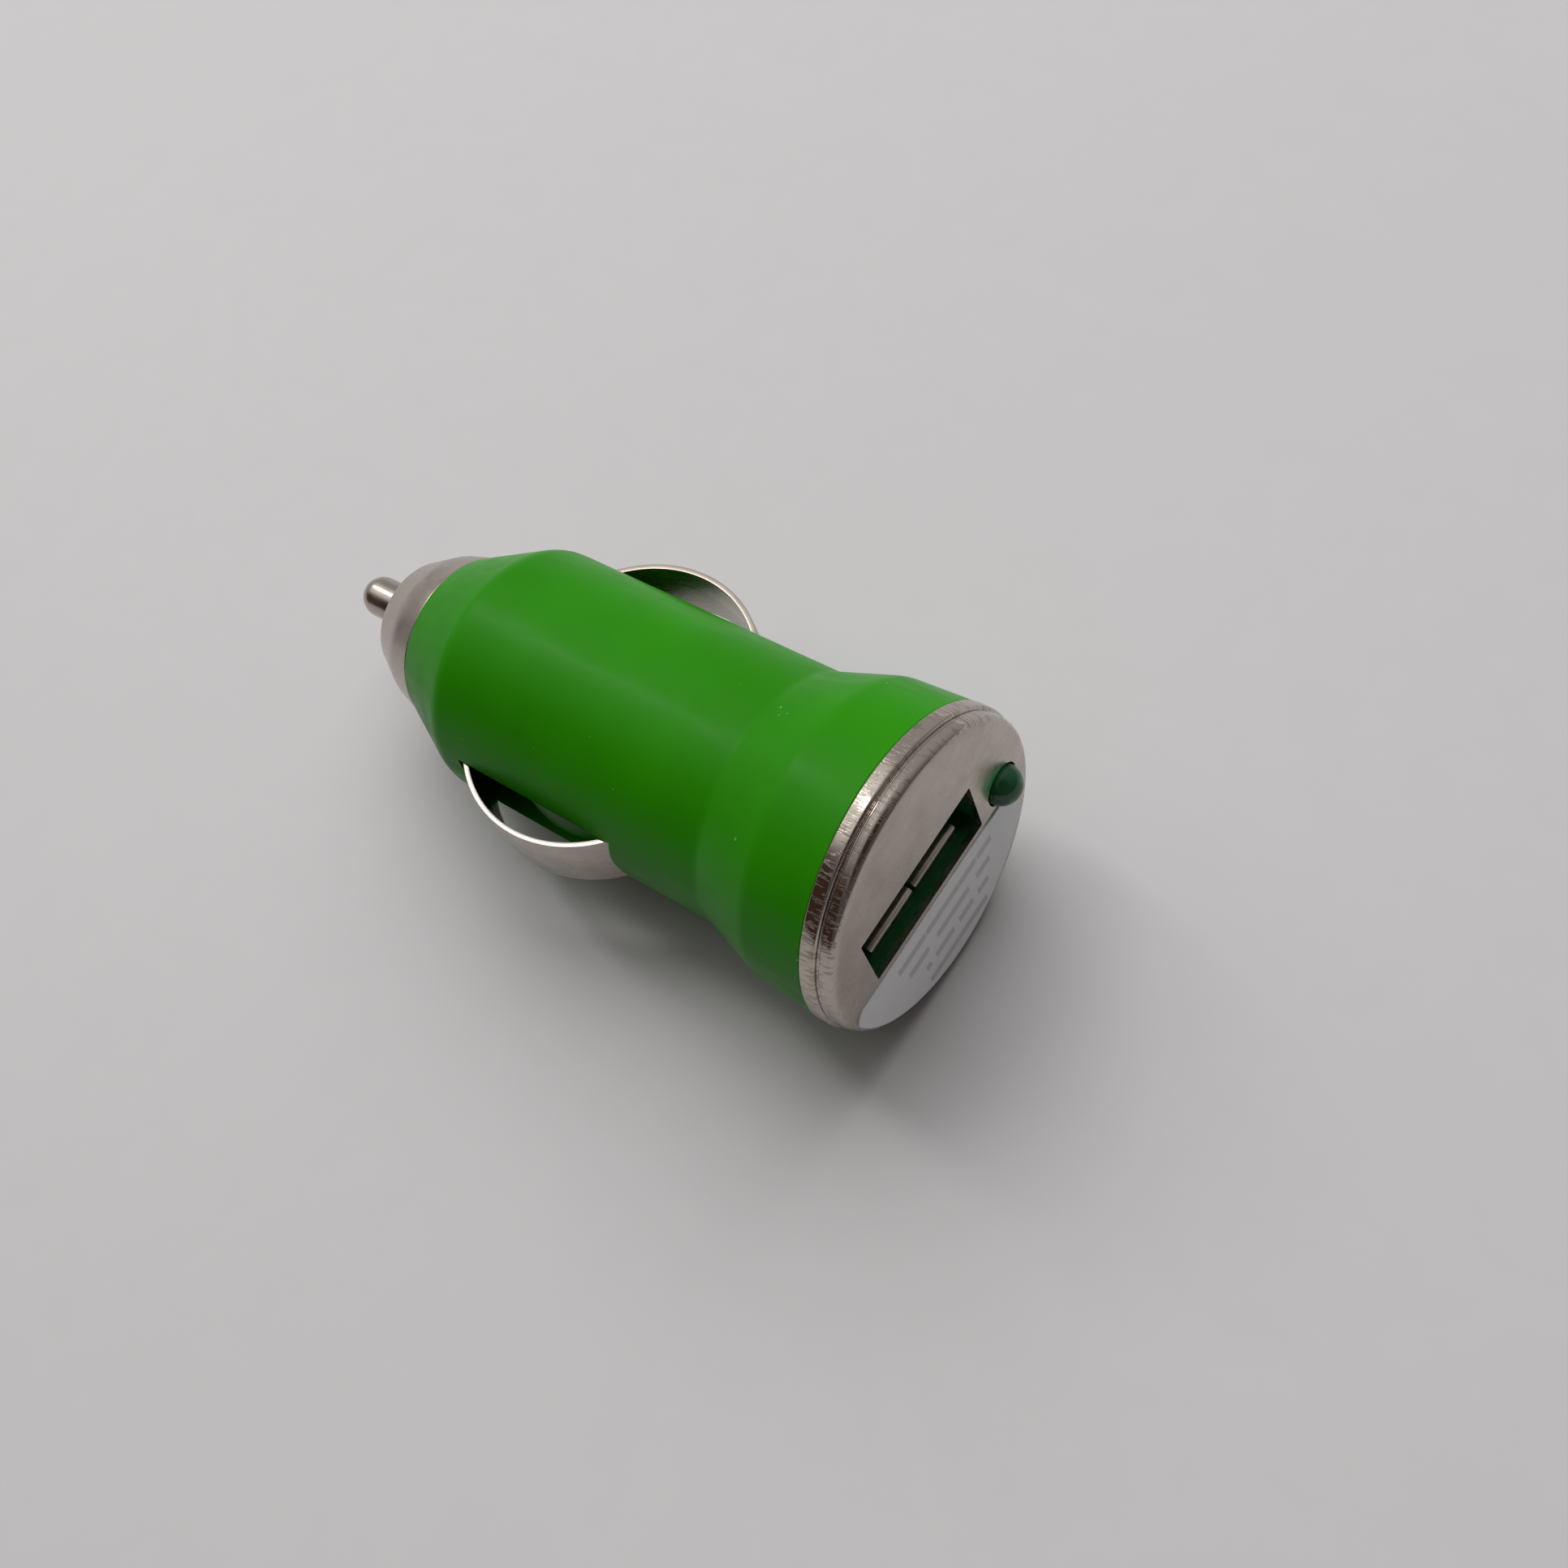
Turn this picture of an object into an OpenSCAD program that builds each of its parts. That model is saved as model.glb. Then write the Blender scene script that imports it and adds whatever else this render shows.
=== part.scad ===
// Car charger that plugs into a cigarette lighter socket and feeds one USB plug.
// The axis is X: the USB face looks along +X and the sprung tip along -X. The origin is on
// the axis, level with the crowns of the two side springs, which stand out along +Y and -Y.

/* [Barrel] */
// Diameter of the plain barrel
barrel_d = 19.1; // [18.7:0.1:20.5]
// From the crowns of the side springs forward to the flare
barrel_front = 15; // [14.5:0.5:18]
// From the crowns of the side springs back to the shoulder
barrel_rear = 9.3; // [9:0.1:12]
// Length of the tapered shoulder
shoulder_len = 6; // [5:0.25:8]
// Diameter where the shoulder meets the nose ring
nose_d = 13.5; // [13:0.1:14.5]
// Wall thickness of the moulding
wall = 1.2; // [1:0.05:1.3]

/* [Head] */
// Length of the flare
flare_len = 5; // [4:0.25:7]
// Length of the near-cylindrical head behind the cap
head_len = 4.92; // [4:0.25:7]
// Space between the lamp and the inner wall of the head
head_room = 0.46; // [0.4:0.02:0.8]
// How much wider the head is at the cap than at the flare
head_spread = 0.54; // [0.3:0.02:0.6]

/* [End cap] */
// How far the cap's rear band stands out round the head
cap_step = 0.06; // [0.02:0.02:0.2]
// Length of the cap
cap_len = 2.34; // [2:0.05:3]
// How far the bead round the face lies below the rear band
bead_step = 0.3; // [0.2:0.02:0.4]
// Length of the rear band
band_len = 1.12; // [0.8:0.02:1.2]
// Thickness of the cap's face
cap_sheet = 0.5; // [0.4:0.05:0.6]
// Radius of the rounding between bead and face
face_round = 0.45; // [0.3:0.01:0.45]

/* [USB socket] */
// Width of the slot
slot_w = 12.6; // [12.4:0.05:12.8]
// Height of the slot
slot_h = 5.08; // [4.9:0.02:5.2]
// Sideways place of the slot's centre
slot_y = -1.05; // [-1.2:0.05:-0.9]
// Height of the slot's centre above the axis
slot_z = 1.15; // [1:0.05:1.3]
// Depth of the socket from the face of the cap
socket_depth = 10.5; // [9.5:0.1:11]
// Wall thickness of the insulator
socket_wall = 0.75; // [0.6:0.05:0.8]
// Width of the tongue that carries the contacts
tongue_w = 11.1; // [10.8:0.05:11.3]
// Thickness of the tongue
tongue_t = 1.8; // [1.6:0.05:1.9]
// Space above the tongue for the plug's shell
tongue_gap = 0.65; // [0.6:0.05:0.8]
// Setback of the tongue from the face of the cap
tongue_setback = 1.7; // [1.6:0.05:2.2]
// Width of one grip spring
grip_w = 4.95; // [4.6:0.05:5.1]
// Setback of the grip springs from the face of the cap
grip_setback = 1.25; // [1.1:0.05:1.6]
// Thickness of contact and grip strip
strip_t = 0.25; // [0.2:0.01:0.3]

/* [Indicator] */
// Diameter of the indicator lamp
led_d = 3; // [2.8:0.05:3.1]
// Gap between the lamp's flange and the USB socket
led_gap = 0.34; // [0.2:0.02:0.6]
// Height of the lamp above the axis
led_z = -0.42; // [-0.5:0.02:-0.3]
// How far the dome stands out of the face
led_proud = 1.45; // [1.2:0.05:1.5]
// Length of the lamp's straight body behind the dome
led_body = 3.6; // [3:0.1:4]

/* [Nose] */
// Length of the nose ring
ring_len = 5.23; // [5:0.05:6]
// Diameter of the nose ring at its tip end
ring_end_d = 9.06; // [8.8:0.02:9.6]
// Thickness of the nose ring's end wall
ring_wall = 1.18; // [1:0.02:1.3]
// Diameter of the sprung tip
pin_d = 3.24; // [3:0.02:3.4]
// How far the tip stands out of the nose ring
pin_proud = 6.26; // [5.5:0.05:7]
// How far the tip can be pressed in
pin_travel = 3; // [2:0.1:3.2]
// Wire diameter of the coil spring behind the tip
coil_wire = 0.44; // [0.36:0.02:0.5]
// Number of turns of that spring
coil_turns = 7; // [5:1:8]

/* [Side springs] */
// Width of the side spring strip
bow_w = 5.09; // [4.8:0.01:5.2]
// Thickness of the side spring strip
bow_t = 0.4; // [0.3:0.02:0.45]
// Outer radius of the bow
bow_r = 9.88; // [9.7:0.02:10.1]
// Distance across the crowns of both side springs
crown_d = 23.78; // [23.4:0.02:24]
// How far a side spring can be pressed in
bow_travel = 2.6; // [2.3:0.05:2.7]
// Length of the feet that hold a side spring in the barrel
foot_len = 1.35; // [1:0.05:1.5]

/* [Circuit board] */
// Thickness of the board
board_t = 1.6; // [1.4:0.1:1.6]
// Width of the board between the side springs
neck_w = 8.4; // [8:0.1:8.6]
// Diameter of the electrolytic capacitors
can_d = 4.2; // [3.8:0.1:4.3]
// Length of the electrolytic capacitors
can_len = 7; // [6:0.25:7.5]
// Diameter of the inductor's drum
drum_d = 6; // [5.4:0.1:6]
// Height of the inductor's drum
drum_h = 3.8; // [3:0.1:3.8]
// Diameter of the leads and hook-up wires
lead_d = 0.5; // [0.4:0.02:0.6]

/* [Hidden] */
$fn = 96;

green = [0.16, 0.5, 0.03];
dark_green = [0.03, 0.28, 0.1];
nickel = [0.6, 0.56, 0.53];
copper = [0.75, 0.42, 0.24];
// Shapes that cut reach past what they cut by this much
over = 0.5;
// Gap of a seat between pieces that are pressed or soldered together
snug = 0.02;
// Gap of a seat between a loose piece and what holds it
loose = 0.3;

// Stations along the axis
flare_x = barrel_front;
head_x = flare_x + flare_len;
cap_x = head_x + head_len;
face_x = cap_x + cap_len;
sheet_x = face_x - cap_sheet;
shoulder_x = -barrel_rear;
nose_x = shoulder_x - shoulder_len;
ring_end_x = nose_x - ring_len;
tip_x = ring_end_x - pin_proud;

// The lamp sits beside the USB socket, and the head goes round them both
led_r = led_d / 2;
led_flange_r = led_r + 0.2;
led_y = slot_y + slot_w / 2 + socket_wall + led_gap + led_flange_r;
head_bore_r = led_y + led_r + head_room;
head_d = 2 * (head_bore_r + wall);
head_front_d = head_d + head_spread;
cap_d = head_front_d + 2 * cap_step;
bead_d = cap_d - 2 * bead_step;

// Barrel and inner bores
barrel_r = barrel_d / 2;
bore_r = barrel_r - wall;
flare_round = 2;
head_round = 3;
shoulder_round = 2.5;
cap_bore_r = bead_d / 2 - cap_sheet;
shoulder_fall = (barrel_r - nose_d / 2) / shoulder_len;
shoulder_wall = wall * sqrt(1 + pow(shoulder_fall, 2));
flare_rise = (head_d / 2 - barrel_r) / flare_len;
flare_wall = wall * sqrt(1 + pow(flare_rise, 2));

// Threaded neck in the nose ring
neck_r = 5.4;
neck_bore_r = 4;
neck_len = 2.9;
neck_wall = 1.05;
neck_in_x = nose_x + neck_wall;
neck_end_x = nose_x - neck_len;
ring_in_x = ring_end_x + ring_wall;
recess_r = 3.6;

// Sprung tip and what is behind it
pin_r = pin_d / 2;
pin_run = 0.08;
// The tip is thicker where it runs in the ring, and that stretch ends just outside
guide_r = pin_r + 0.18;
guide_x = ring_end_x - 0.1;
flange_r = 3.2;
flange_t = 0.8;
flange_x = ring_in_x + 0.05;
stub_r = 1.4;
stub_len = 1.4;
seat_r = 3.4;
seat_t = 0.8;
seat_leg = 3;
seat_leg_w = 3;
board_rear_x = shoulder_x - 0.1;
seat_x = board_rear_x - seat_t;
coil_end_gap = 0.06;
coil_r = 2.1;
coil_x0 = flange_x + flange_t + coil_end_gap;
coil_len = seat_x - coil_end_gap - coil_x0;

// Side springs: a bow on a circle about bow_y, with a flat foot at each end
bow_y = crown_d / 2 - bow_r;
bow_in_r = bow_r - bow_t;
foot_y = sqrt(pow(bore_r, 2) - pow(bow_w / 2, 2)) - loose;
foot_x = sqrt(pow(bow_in_r, 2) - pow(foot_y - bow_t - bow_y, 2));
foot_end_x = foot_x + foot_len + bow_t;

// Pockets that the side springs sink into
pressed_y = bow_y - bow_travel;
pocket_w = bow_w + 0.4;
pocket_r = bow_r + loose;
saddle_r = bow_in_r - 0.2;
saddle_t = 1;
web_t = 0.8;
web_y = neck_w / 2 + 0.4;
web_half = foot_x + 0.5;
saddle_half = sqrt(pow(saddle_r - saddle_t, 2) - pow(web_y - pressed_y, 2));

// USB socket
slot_floor_z = slot_z - slot_h / 2;
slot_roof_z = slot_z + slot_h / 2;
slot_round = 0.15;
socket_round = 0.8;
socket_x0 = face_x - socket_depth;
block_x0 = socket_x0 - socket_wall;
tongue_x1 = face_x - tongue_setback;
tongue_z1 = slot_roof_z - tongue_gap;
tongue_z0 = tongue_z1 - tongue_t;
contact_w = 1;
contact_leg_w = 0.6;
contact_setback = 0.7;
contact_leg_x = block_x0 - 0.5;
contact_ys = [-3.5, -1, 1, 3.5];
grip_x1 = face_x - grip_setback;
grip_gap = 0.3;
grip_lift = 0.55;
grip_lip = 0.45;
grip_seat = 1.1;

// Circuit board
board_z1 = slot_floor_z - socket_wall;
board_z0 = board_z1 - board_t;
board_neck_x = foot_end_x + loose;
board_head_x = head_x - 0.2;
board_front_x = sheet_x - 0.4;
board_mid_w = 2 * (sqrt(pow(bore_r, 2) - pow(board_z0, 2)) - 0.2);
board_head_w = 2 * (sqrt(pow(head_bore_r, 2) - pow(board_z0, 2)) - 0.3);
rail_h = 0.9;
rail_w = 0.8;
rail_x0 = board_neck_x + 0.2;
rail_x1 = flare_x;
shelf_len = 1.2;
shelf_y = neck_w / 2 - 0.9;

// Lamp
led_hole_r = led_r + 0.13;
led_flange_t = 1;
led_dome_x = face_x + led_proud - led_r;
led_base_x = led_dome_x - led_body;
led_pitch = 1.27;
led_lead_run = [1, 2.4];

// Sticker under the slot
sticker_edge = 0.38;
sticker_r = bead_d / 2 - face_round - sticker_edge;
sticker_y = -0.35;
sticker_top = min(slot_floor_z - 0.5, led_z - led_r - 0.06);
sticker_t = 0.1;

// Parts on the board
lead_r = lead_d / 2;
can_z = board_z0 - can_d / 2 - 0.1;
input_can_x = board_rear_x + 0.8;
output_can_x = 7.5;
drum_x = 3.1;
drum_flange = 0.8;
drum_core_r = 1.5;
winding_r = drum_d / 2 - 0.35;
chip_size = [4.9, 3.9, 1.4];
chip_lift = 0.15;
chip_x = 1.6;
chip_pitch = 1.27;
chip_pin_w = 0.42;
chip_pin_reach = 0.9;
diode_d = 2.4;
diode_len = 4.2;
diode_x = -4.4;
chip_part = [2, 1.25, 0.55];
resistor_x = board_neck_x + 1.8;
resistor_y = 3.5;
resistor_pitch = 2;
ceramic_x = chip_x + 5.2;
ceramic_pitch = 2.6;

function unit(v) = v / norm(v);

// Points of an arc of radius r that rounds the corner b between a and c
function corner_arc(a, b, c, r, steps = 6) =
    let (
        u = unit(a - b),
        v = unit(c - b),
        half = acos(u * v) / 2,
        centre = b + unit(u + v) * r / sin(half),
        p = b + u * r / tan(half) - centre,
        q = b + v * r / tan(half) - centre,
        turn = 180 - 2 * half
    )
    [for (i = [0:steps]) centre + (p * sin((1 - i / steps) * turn) + q * sin(i / steps * turn)) / sin(turn)];

function flat(p) = [p[0], p[1]];

// An outline of [x, r, rounding] points with its corners rounded
function rounded(path) =
    let (n = len(path))
    [for (i = [0:n - 1]) each path[i][2] == 0 ? [flat(path[i])] :
        corner_arc(flat(path[(i + n - 1) % n]), flat(path[i]), flat(path[(i + 1) % n]), path[i][2])];

// Turns an outline of [x, r, rounding] points about the X axis
module turned(path) {
    rotate([0, 90, 0])
        rotate_extrude()
            polygon([for (p = rounded(path)) [p[1], p[0]]]);
}

module rod_x(r, x0, x1, y = 0, z = 0) {
    translate([x0, y, z])
        rotate([0, 90, 0])
            cylinder(r = r, h = x1 - x0);
}

module rod_y(r, y0, y1, x, z) {
    translate([x, y0, z])
        rotate([-90, 0, 0])
            cylinder(r = r, h = y1 - y0);
}

module rod_z(r, z0, z1, x, y) {
    translate([x, y, z0])
        cylinder(r = r, h = z1 - z0);
}

module block(low, high) {
    translate(low)
        cube(high - low);
}

// A bar along X whose section in Y and Z has rounded corners
module rounded_bar(x0, x1, y, z, w, h, r) {
    for (part = [[w - 2 * r, h], [w, h - 2 * r]])
        block([x0, y - part[0] / 2, z - part[1] / 2], [x1, y + part[0] / 2, z + part[1] / 2]);
    for (sy = [-1, 1], sz = [-1, 1])
        rod_x(r, x0, x1, y + sy * (w / 2 - r), z + sz * (h / 2 - r));
}

// The same thing on the +Y side, or mirrored to the -Y side
module on_side(side) {
    mirror([0, side < 0 ? 1 : 0, 0])
        children();
}

// The moulding

module housing_outside() {
    turned([
        [sheet_x, 0, 0], [sheet_x, cap_bore_r - snug, 0.2], [cap_x, cap_bore_r - snug, 0],
        [cap_x, head_front_d / 2, 0.1], [head_x, head_d / 2, head_round], [flare_x, barrel_r, flare_round],
        [shoulder_x, barrel_r, shoulder_round], [nose_x, nose_d / 2, 0], [nose_x, neck_r, 0],
        [neck_end_x, neck_r, 0.3], [neck_end_x, 0, 0]
    ]);
}

module housing_inside() {
    cone_top = bore_r + shoulder_wall;
    cone_x = shoulder_x + (cone_top - barrel_r) / shoulder_fall;
    cone_end_r = nose_d / 2 + neck_wall * shoulder_fall - shoulder_wall;
    flare_in_x = flare_x + (bore_r + flare_wall - barrel_r) / flare_rise;
    head_in_x = flare_x + (head_bore_r + flare_wall - barrel_r) / flare_rise;
    turned([
        [sheet_x + over, 0, 0], [sheet_x + over, head_bore_r, 0], [head_in_x, head_bore_r, head_round - wall],
        [flare_in_x, bore_r, flare_round + wall], [cone_x, bore_r, shoulder_round - wall],
        [neck_in_x, cone_end_r, 0],
        [neck_in_x, neck_bore_r, 0], [neck_end_x - over, neck_bore_r, 0], [neck_end_x - over, 0, 0]
    ]);
}

// Curved floor and side webs of one pocket, on the +Y side
module pocket_walls() {
    saddle_in_r = saddle_r - saddle_t;
    depth = pocket_w + 2 * web_t;
    intersection() {
        rod_x(bore_r + wall / 2, -web_half, web_half);
        union() {
            intersection() {
                block([-saddle_half, web_y, -depth / 2], [saddle_half, barrel_r, depth / 2]);
                difference() {
                    rod_z(saddle_r, -depth / 2, depth / 2, 0, pressed_y);
                    rod_z(saddle_in_r, -depth, depth, 0, pressed_y);
                }
            }
            for (s = [-1, 1])
                difference() {
                    translate([0, 0, s * (pocket_w + web_t) / 2])
                        block([-web_half, web_y, -web_t / 2], [web_half, barrel_r, web_t / 2]);
                    rod_z(saddle_in_r, -depth, depth, 0, pressed_y);
                }
        }
    }
}

// What one pocket takes out of the barrel, on the +Y side
module pocket_cut() {
    difference() {
        intersection() {
            rod_z(pocket_r, -pocket_w / 2, pocket_w / 2, 0, bow_y);
            block([-pocket_r, web_y - over, -pocket_w], [pocket_r, 2 * pocket_r, pocket_w]);
        }
        intersection() {
            rod_z(saddle_r, -pocket_w, pocket_w, 0, pressed_y);
            block([-saddle_half, 0, -pocket_w], [saddle_half, 2 * pocket_r, pocket_w]);
        }
    }
}

// Grooved rail for the board's edge and the shelf under its rear end, on the +Y side
module board_holders() {
    edge = board_mid_w / 2;
    intersection() {
        rod_x(bore_r + wall / 2, 2 * shoulder_x, rail_x1);
        union() {
            difference() {
                block([rail_x0, edge - rail_w, board_z0 - rail_h], [rail_x1, barrel_r, board_z1 + rail_h]);
                block([rail_x0 - over, 0, board_z0 - snug], [rail_x1 + over, edge + snug, board_z1 + snug]);
            }
            block([board_rear_x + 0.2, shelf_y, board_z0 - rail_h],
                [board_rear_x + 0.2 + shelf_len, barrel_r, board_z0 - snug]);
        }
    }
}

module housing() {
    color(green)
        difference() {
            union() {
                difference() {
                    housing_outside();
                    housing_inside();
                }
                for (side = [-1, 1])
                    on_side(side) {
                        pocket_walls();
                        board_holders();
                    }
            }
            for (side = [-1, 1])
                on_side(side)
                    pocket_cut();
        }
}

// The plated end cap, its sticker and the lamp

module end_cap() {
    bead_r = bead_d / 2;
    groove_x = cap_x + band_len;
    groove_r = bead_r - 0.1;
    color(nickel)
        difference() {
            turned([
                [face_x, 0, 0], [face_x, bead_r, face_round], [groove_x + 0.25, bead_r, 0.08],
                [groove_x + 0.12, groove_r, 0], [groove_x, groove_r, 0], [groove_x, cap_d / 2 - 0.02, 0.08],
                [cap_x, cap_d / 2, 0.06], [cap_x, cap_bore_r, 0], [sheet_x, cap_bore_r, 0], [sheet_x, 0, 0]
            ]);
            rounded_bar(sheet_x - over, face_x + over, slot_y, slot_z, slot_w, slot_h, slot_round);
            rod_x(led_hole_r, sheet_x - over, face_x + over, led_y, led_z);
        }
}

// Paper segment under the slot
module face_sticker() {
    color([0.8, 0.8, 0.82])
        intersection() {
            rod_x(sticker_r, face_x, face_x + sticker_t, sticker_y);
            block([face_x - over, -2 * sticker_r, -2 * sticker_r], [face_x + over, 2 * sticker_r, sticker_top]);
        }
}

module led_lamp() {
    color(dark_green)
        union() {
            rod_x(led_r, led_base_x, led_dome_x, led_y, led_z);
            rod_x(led_flange_r, led_base_x, led_base_x + led_flange_t, led_y, led_z);
            translate([led_dome_x, led_y, led_z])
                sphere(r = led_r);
        }
}

module led_leads() {
    color(nickel)
        for (i = [0, 1]) {
            lead_z = led_z + (2 * i - 1) * led_pitch;
            bend_x = led_base_x - led_lead_run[i];
            rod_x(lead_r, bend_x, led_base_x, led_y, lead_z);
            rod_z(lead_r, board_z1, lead_z, bend_x, led_y);
            translate([bend_x, led_y, lead_z])
                sphere(r = lead_r);
        }
}

// The nose: ring, sprung tip, coil spring and its seat

module nose_ring() {
    mid_x = nose_x - ring_len * 0.45;
    mid_r = ring_end_d / 4 + nose_d / 4 + 0.45;
    color(nickel)
        turned([
            [nose_x, neck_r + snug, 0], [nose_x, nose_d / 2, 0.1], [mid_x, mid_r, 4],
            [ring_end_x, ring_end_d / 2, 0.5], [ring_end_x, guide_r + pin_run, 0],
            [ring_in_x, guide_r + pin_run, 0], [ring_in_x, recess_r, 0],
            [neck_end_x - snug, recess_r, 0], [neck_end_x - snug, neck_r + snug, 0]
        ]);
}

module centre_pin() {
    color(nickel)
        union() {
            translate([tip_x + pin_r, 0, 0])
                sphere(r = pin_r);
            rod_x(pin_r, tip_x + pin_r, flange_x);
            rod_x(guide_r, guide_x, flange_x + flange_t);
            turned([
                [flange_x, 0, 0], [flange_x, flange_r, 0.15], [flange_x + flange_t, flange_r, 0.15],
                [flange_x + flange_t, 0, 0]
            ]);
            rod_x(stub_r, flange_x, flange_x + flange_t + stub_len);
        }
}

// Centre of the coil's wire after a share s of its length, with closed turns at both ends
function coil_point(s) =
    let (
        closed = 1 / coil_turns,
        pitch_share = s < closed ? 0 : s > 1 - closed ? 1 : (s - closed) / (1 - 2 * closed),
        rise = coil_len - 3 * coil_wire
    )
    [
        coil_x0 + coil_wire / 2 + coil_wire * min(1, s / closed) + rise * pitch_share
            + coil_wire * max(0, (s - 1 + closed) / closed),
        coil_r * cos(360 * coil_turns * s),
        coil_r * sin(360 * coil_turns * s)
    ];

module contact_spring() {
    sides = 8;
    rings = coil_turns * 20;
    points = [
        for (i = [0:rings])
            let (
                c = coil_point(i / rings),
                a = 360 * coil_turns * i / rings,
                out = [0, cos(a), sin(a)]
            )
            for (k = [0:sides - 1])
                c + coil_wire / 2 * (cos(360 * k / sides) * out + sin(360 * k / sides) * [1, 0, 0])
    ];
    walls = [
        for (i = [0:rings - 1], k = [0:sides - 1])
            [i * sides + k, i * sides + (k + 1) % sides, (i + 1) * sides + (k + 1) % sides, (i + 1) * sides + k]
    ];
    first_end = [for (k = [sides - 1:-1:0]) k];
    last_end = [for (k = [0:sides - 1]) rings * sides + k];
    color(nickel)
        polyhedron(points, concat([first_end], walls, [last_end]));
}

module spring_seat() {
    color([0.78, 0.66, 0.36])
        union() {
            rod_x(seat_r, seat_x, board_rear_x);
            rod_x(stub_r, seat_x - stub_len / 2, board_rear_x);
            block([seat_x, -seat_leg_w / 2, board_z1], [board_rear_x + seat_leg, seat_leg_w / 2, board_z1 + bow_t]);
        }
}

// The side springs and the wires that join them to the board

module side_spring(side) {
    color(nickel)
        on_side(side)
            union() {
                intersection() {
                    difference() {
                        rod_z(bow_r, -bow_w / 2, bow_w / 2, 0, bow_y);
                        rod_z(bow_in_r, -bow_w, bow_w, 0, bow_y);
                    }
                    block([-bow_r, foot_y - bow_t, -bow_w], [bow_r, 2 * bow_r, bow_w]);
                }
                for (s = [-1, 1])
                    translate([s * (foot_x + foot_end_x) / 2, foot_y - bow_t / 2, 0])
                        cube([foot_end_x - foot_x, bow_t, bow_w], center = true);
            }
}

module side_lead(side) {
    wire_x = foot_end_x - foot_len / 2;
    wire_y = neck_w / 2 - 1;
    color("firebrick")
        on_side(side)
            union() {
                rod_z(lead_r, board_z1, 0, wire_x, wire_y);
                rod_y(lead_r, wire_y, foot_y - bow_t - coil_end_gap, wire_x, 0);
                translate([wire_x, wire_y, 0])
                    sphere(r = lead_r);
            }
}

// The USB socket

module socket_block() {
    outer_w = slot_w + 2 * socket_wall;
    outer_h = slot_h + 2 * socket_wall;
    color(dark_green)
        union() {
            difference() {
                intersection() {
                    rounded_bar(block_x0, sheet_x, slot_y, slot_z, outer_w, outer_h, socket_round);
                    housing_inside();
                }
                rounded_bar(socket_x0, face_x, slot_y, slot_z, slot_w, slot_h, slot_round);
                for (y = contact_ys)
                    block([block_x0 - over, slot_y + y - contact_w / 2 - snug, tongue_z0 - strip_t - snug],
                        [socket_x0 + over, slot_y + y + contact_w / 2 + snug, tongue_z0 + snug]);
            }
            rounded_bar(block_x0 + socket_wall / 2, tongue_x1, slot_y, (tongue_z0 + tongue_z1) / 2,
                tongue_w, tongue_t, 0.3);
        }
}

// One of the four contact strips under the tongue, with its leg down to the board
module usb_contact(y) {
    color([0.85, 0.7, 0.35])
        translate([0, slot_y + y, 0])
            union() {
                block([contact_leg_x, -contact_w / 2, tongue_z0 - strip_t],
                    [tongue_x1 - contact_setback, contact_w / 2, tongue_z0 - snug]);
                block([contact_leg_x, -contact_leg_w / 2, board_z1],
                    [contact_leg_x + strip_t, contact_leg_w / 2, tongue_z0 - snug]);
            }
}

// Leaf on the slot's floor that grips the plug's shell
module grip_spring(side) {
    grip_x0 = socket_x0 + 1.2;
    crest_x = (grip_x0 + grip_x1) / 2;
    top = [
        [grip_x1, 0, 0], [grip_x1 - grip_lip, grip_lift * 0.65, 0.5], [crest_x, grip_lift, 4],
        [grip_x0 + grip_seat, 0, 1], [grip_x0, 0, 0]
    ];
    under = [for (i = [len(top) - 1:-1:0]) top[i] - [0, strip_t, 0]];
    color(nickel)
        translate([0, slot_y + side * grip_gap / 2, slot_floor_z + strip_t])
            mirror([0, side < 0 ? 1 : 0, 0])
                translate([0, grip_w, 0])
                    rotate([90, 0, 0])
                        linear_extrude(grip_w)
                            polygon(rounded(concat(top, under)));
}

// The circuit board and what is soldered to it

module circuit_board() {
    color([0.1, 0.36, 0.16])
        union() {
            block([board_rear_x, -neck_w / 2, board_z0], [board_front_x, neck_w / 2, board_z1]);
            block([board_neck_x, -board_mid_w / 2, board_z0], [board_front_x, board_mid_w / 2, board_z1]);
            block([board_head_x, -board_head_w / 2, board_z0], [board_front_x, board_head_w / 2, board_z1]);
        }
}

module converter_chip() {
    color([0.12, 0.12, 0.13])
        translate([chip_x, 0, board_z1 + chip_lift + chip_size[2] / 2])
            cube(chip_size, center = true);
}

module chip_pins() {
    pin_t = 0.2;
    pin_top = board_z1 + chip_lift + chip_size[2] / 2;
    color(nickel)
        for (i = [0:3], s = [-1, 1])
            translate([chip_x + (i - 1.5) * chip_pitch, 0, 0])
                on_side(s)
                    union() {
                        block([-chip_pin_w / 2, chip_size[1] / 2, pin_top - pin_t],
                            [chip_pin_w / 2, chip_size[1] / 2 + chip_pin_reach / 2, pin_top]);
                        block([-chip_pin_w / 2, chip_size[1] / 2 + chip_pin_reach / 2 - pin_t, board_z1],
                            [chip_pin_w / 2, chip_size[1] / 2 + chip_pin_reach / 2, pin_top]);
                        block([-chip_pin_w / 2, chip_size[1] / 2 + chip_pin_reach / 2 - pin_t, board_z1],
                            [chip_pin_w / 2, chip_size[1] / 2 + chip_pin_reach, board_z1 + pin_t]);
                    }
}

module inductor_core() {
    z1 = board_z0;
    z0 = board_z0 - drum_h;
    color([0.2, 0.2, 0.21])
        union() {
            rod_z(drum_core_r, z0, z1, drum_x, 0);
            rod_z(drum_d / 2, z0, z0 + drum_flange, drum_x, 0);
            rod_z(drum_d / 2, z1 - drum_flange, z1, drum_x, 0);
        }
}

module inductor_winding() {
    color(copper)
        difference() {
            rod_z(winding_r, board_z0 - drum_h + drum_flange, board_z0 - drum_flange, drum_x, 0);
            rod_z(drum_core_r, board_z0 - drum_h, board_z0, drum_x, 0);
        }
}

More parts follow.
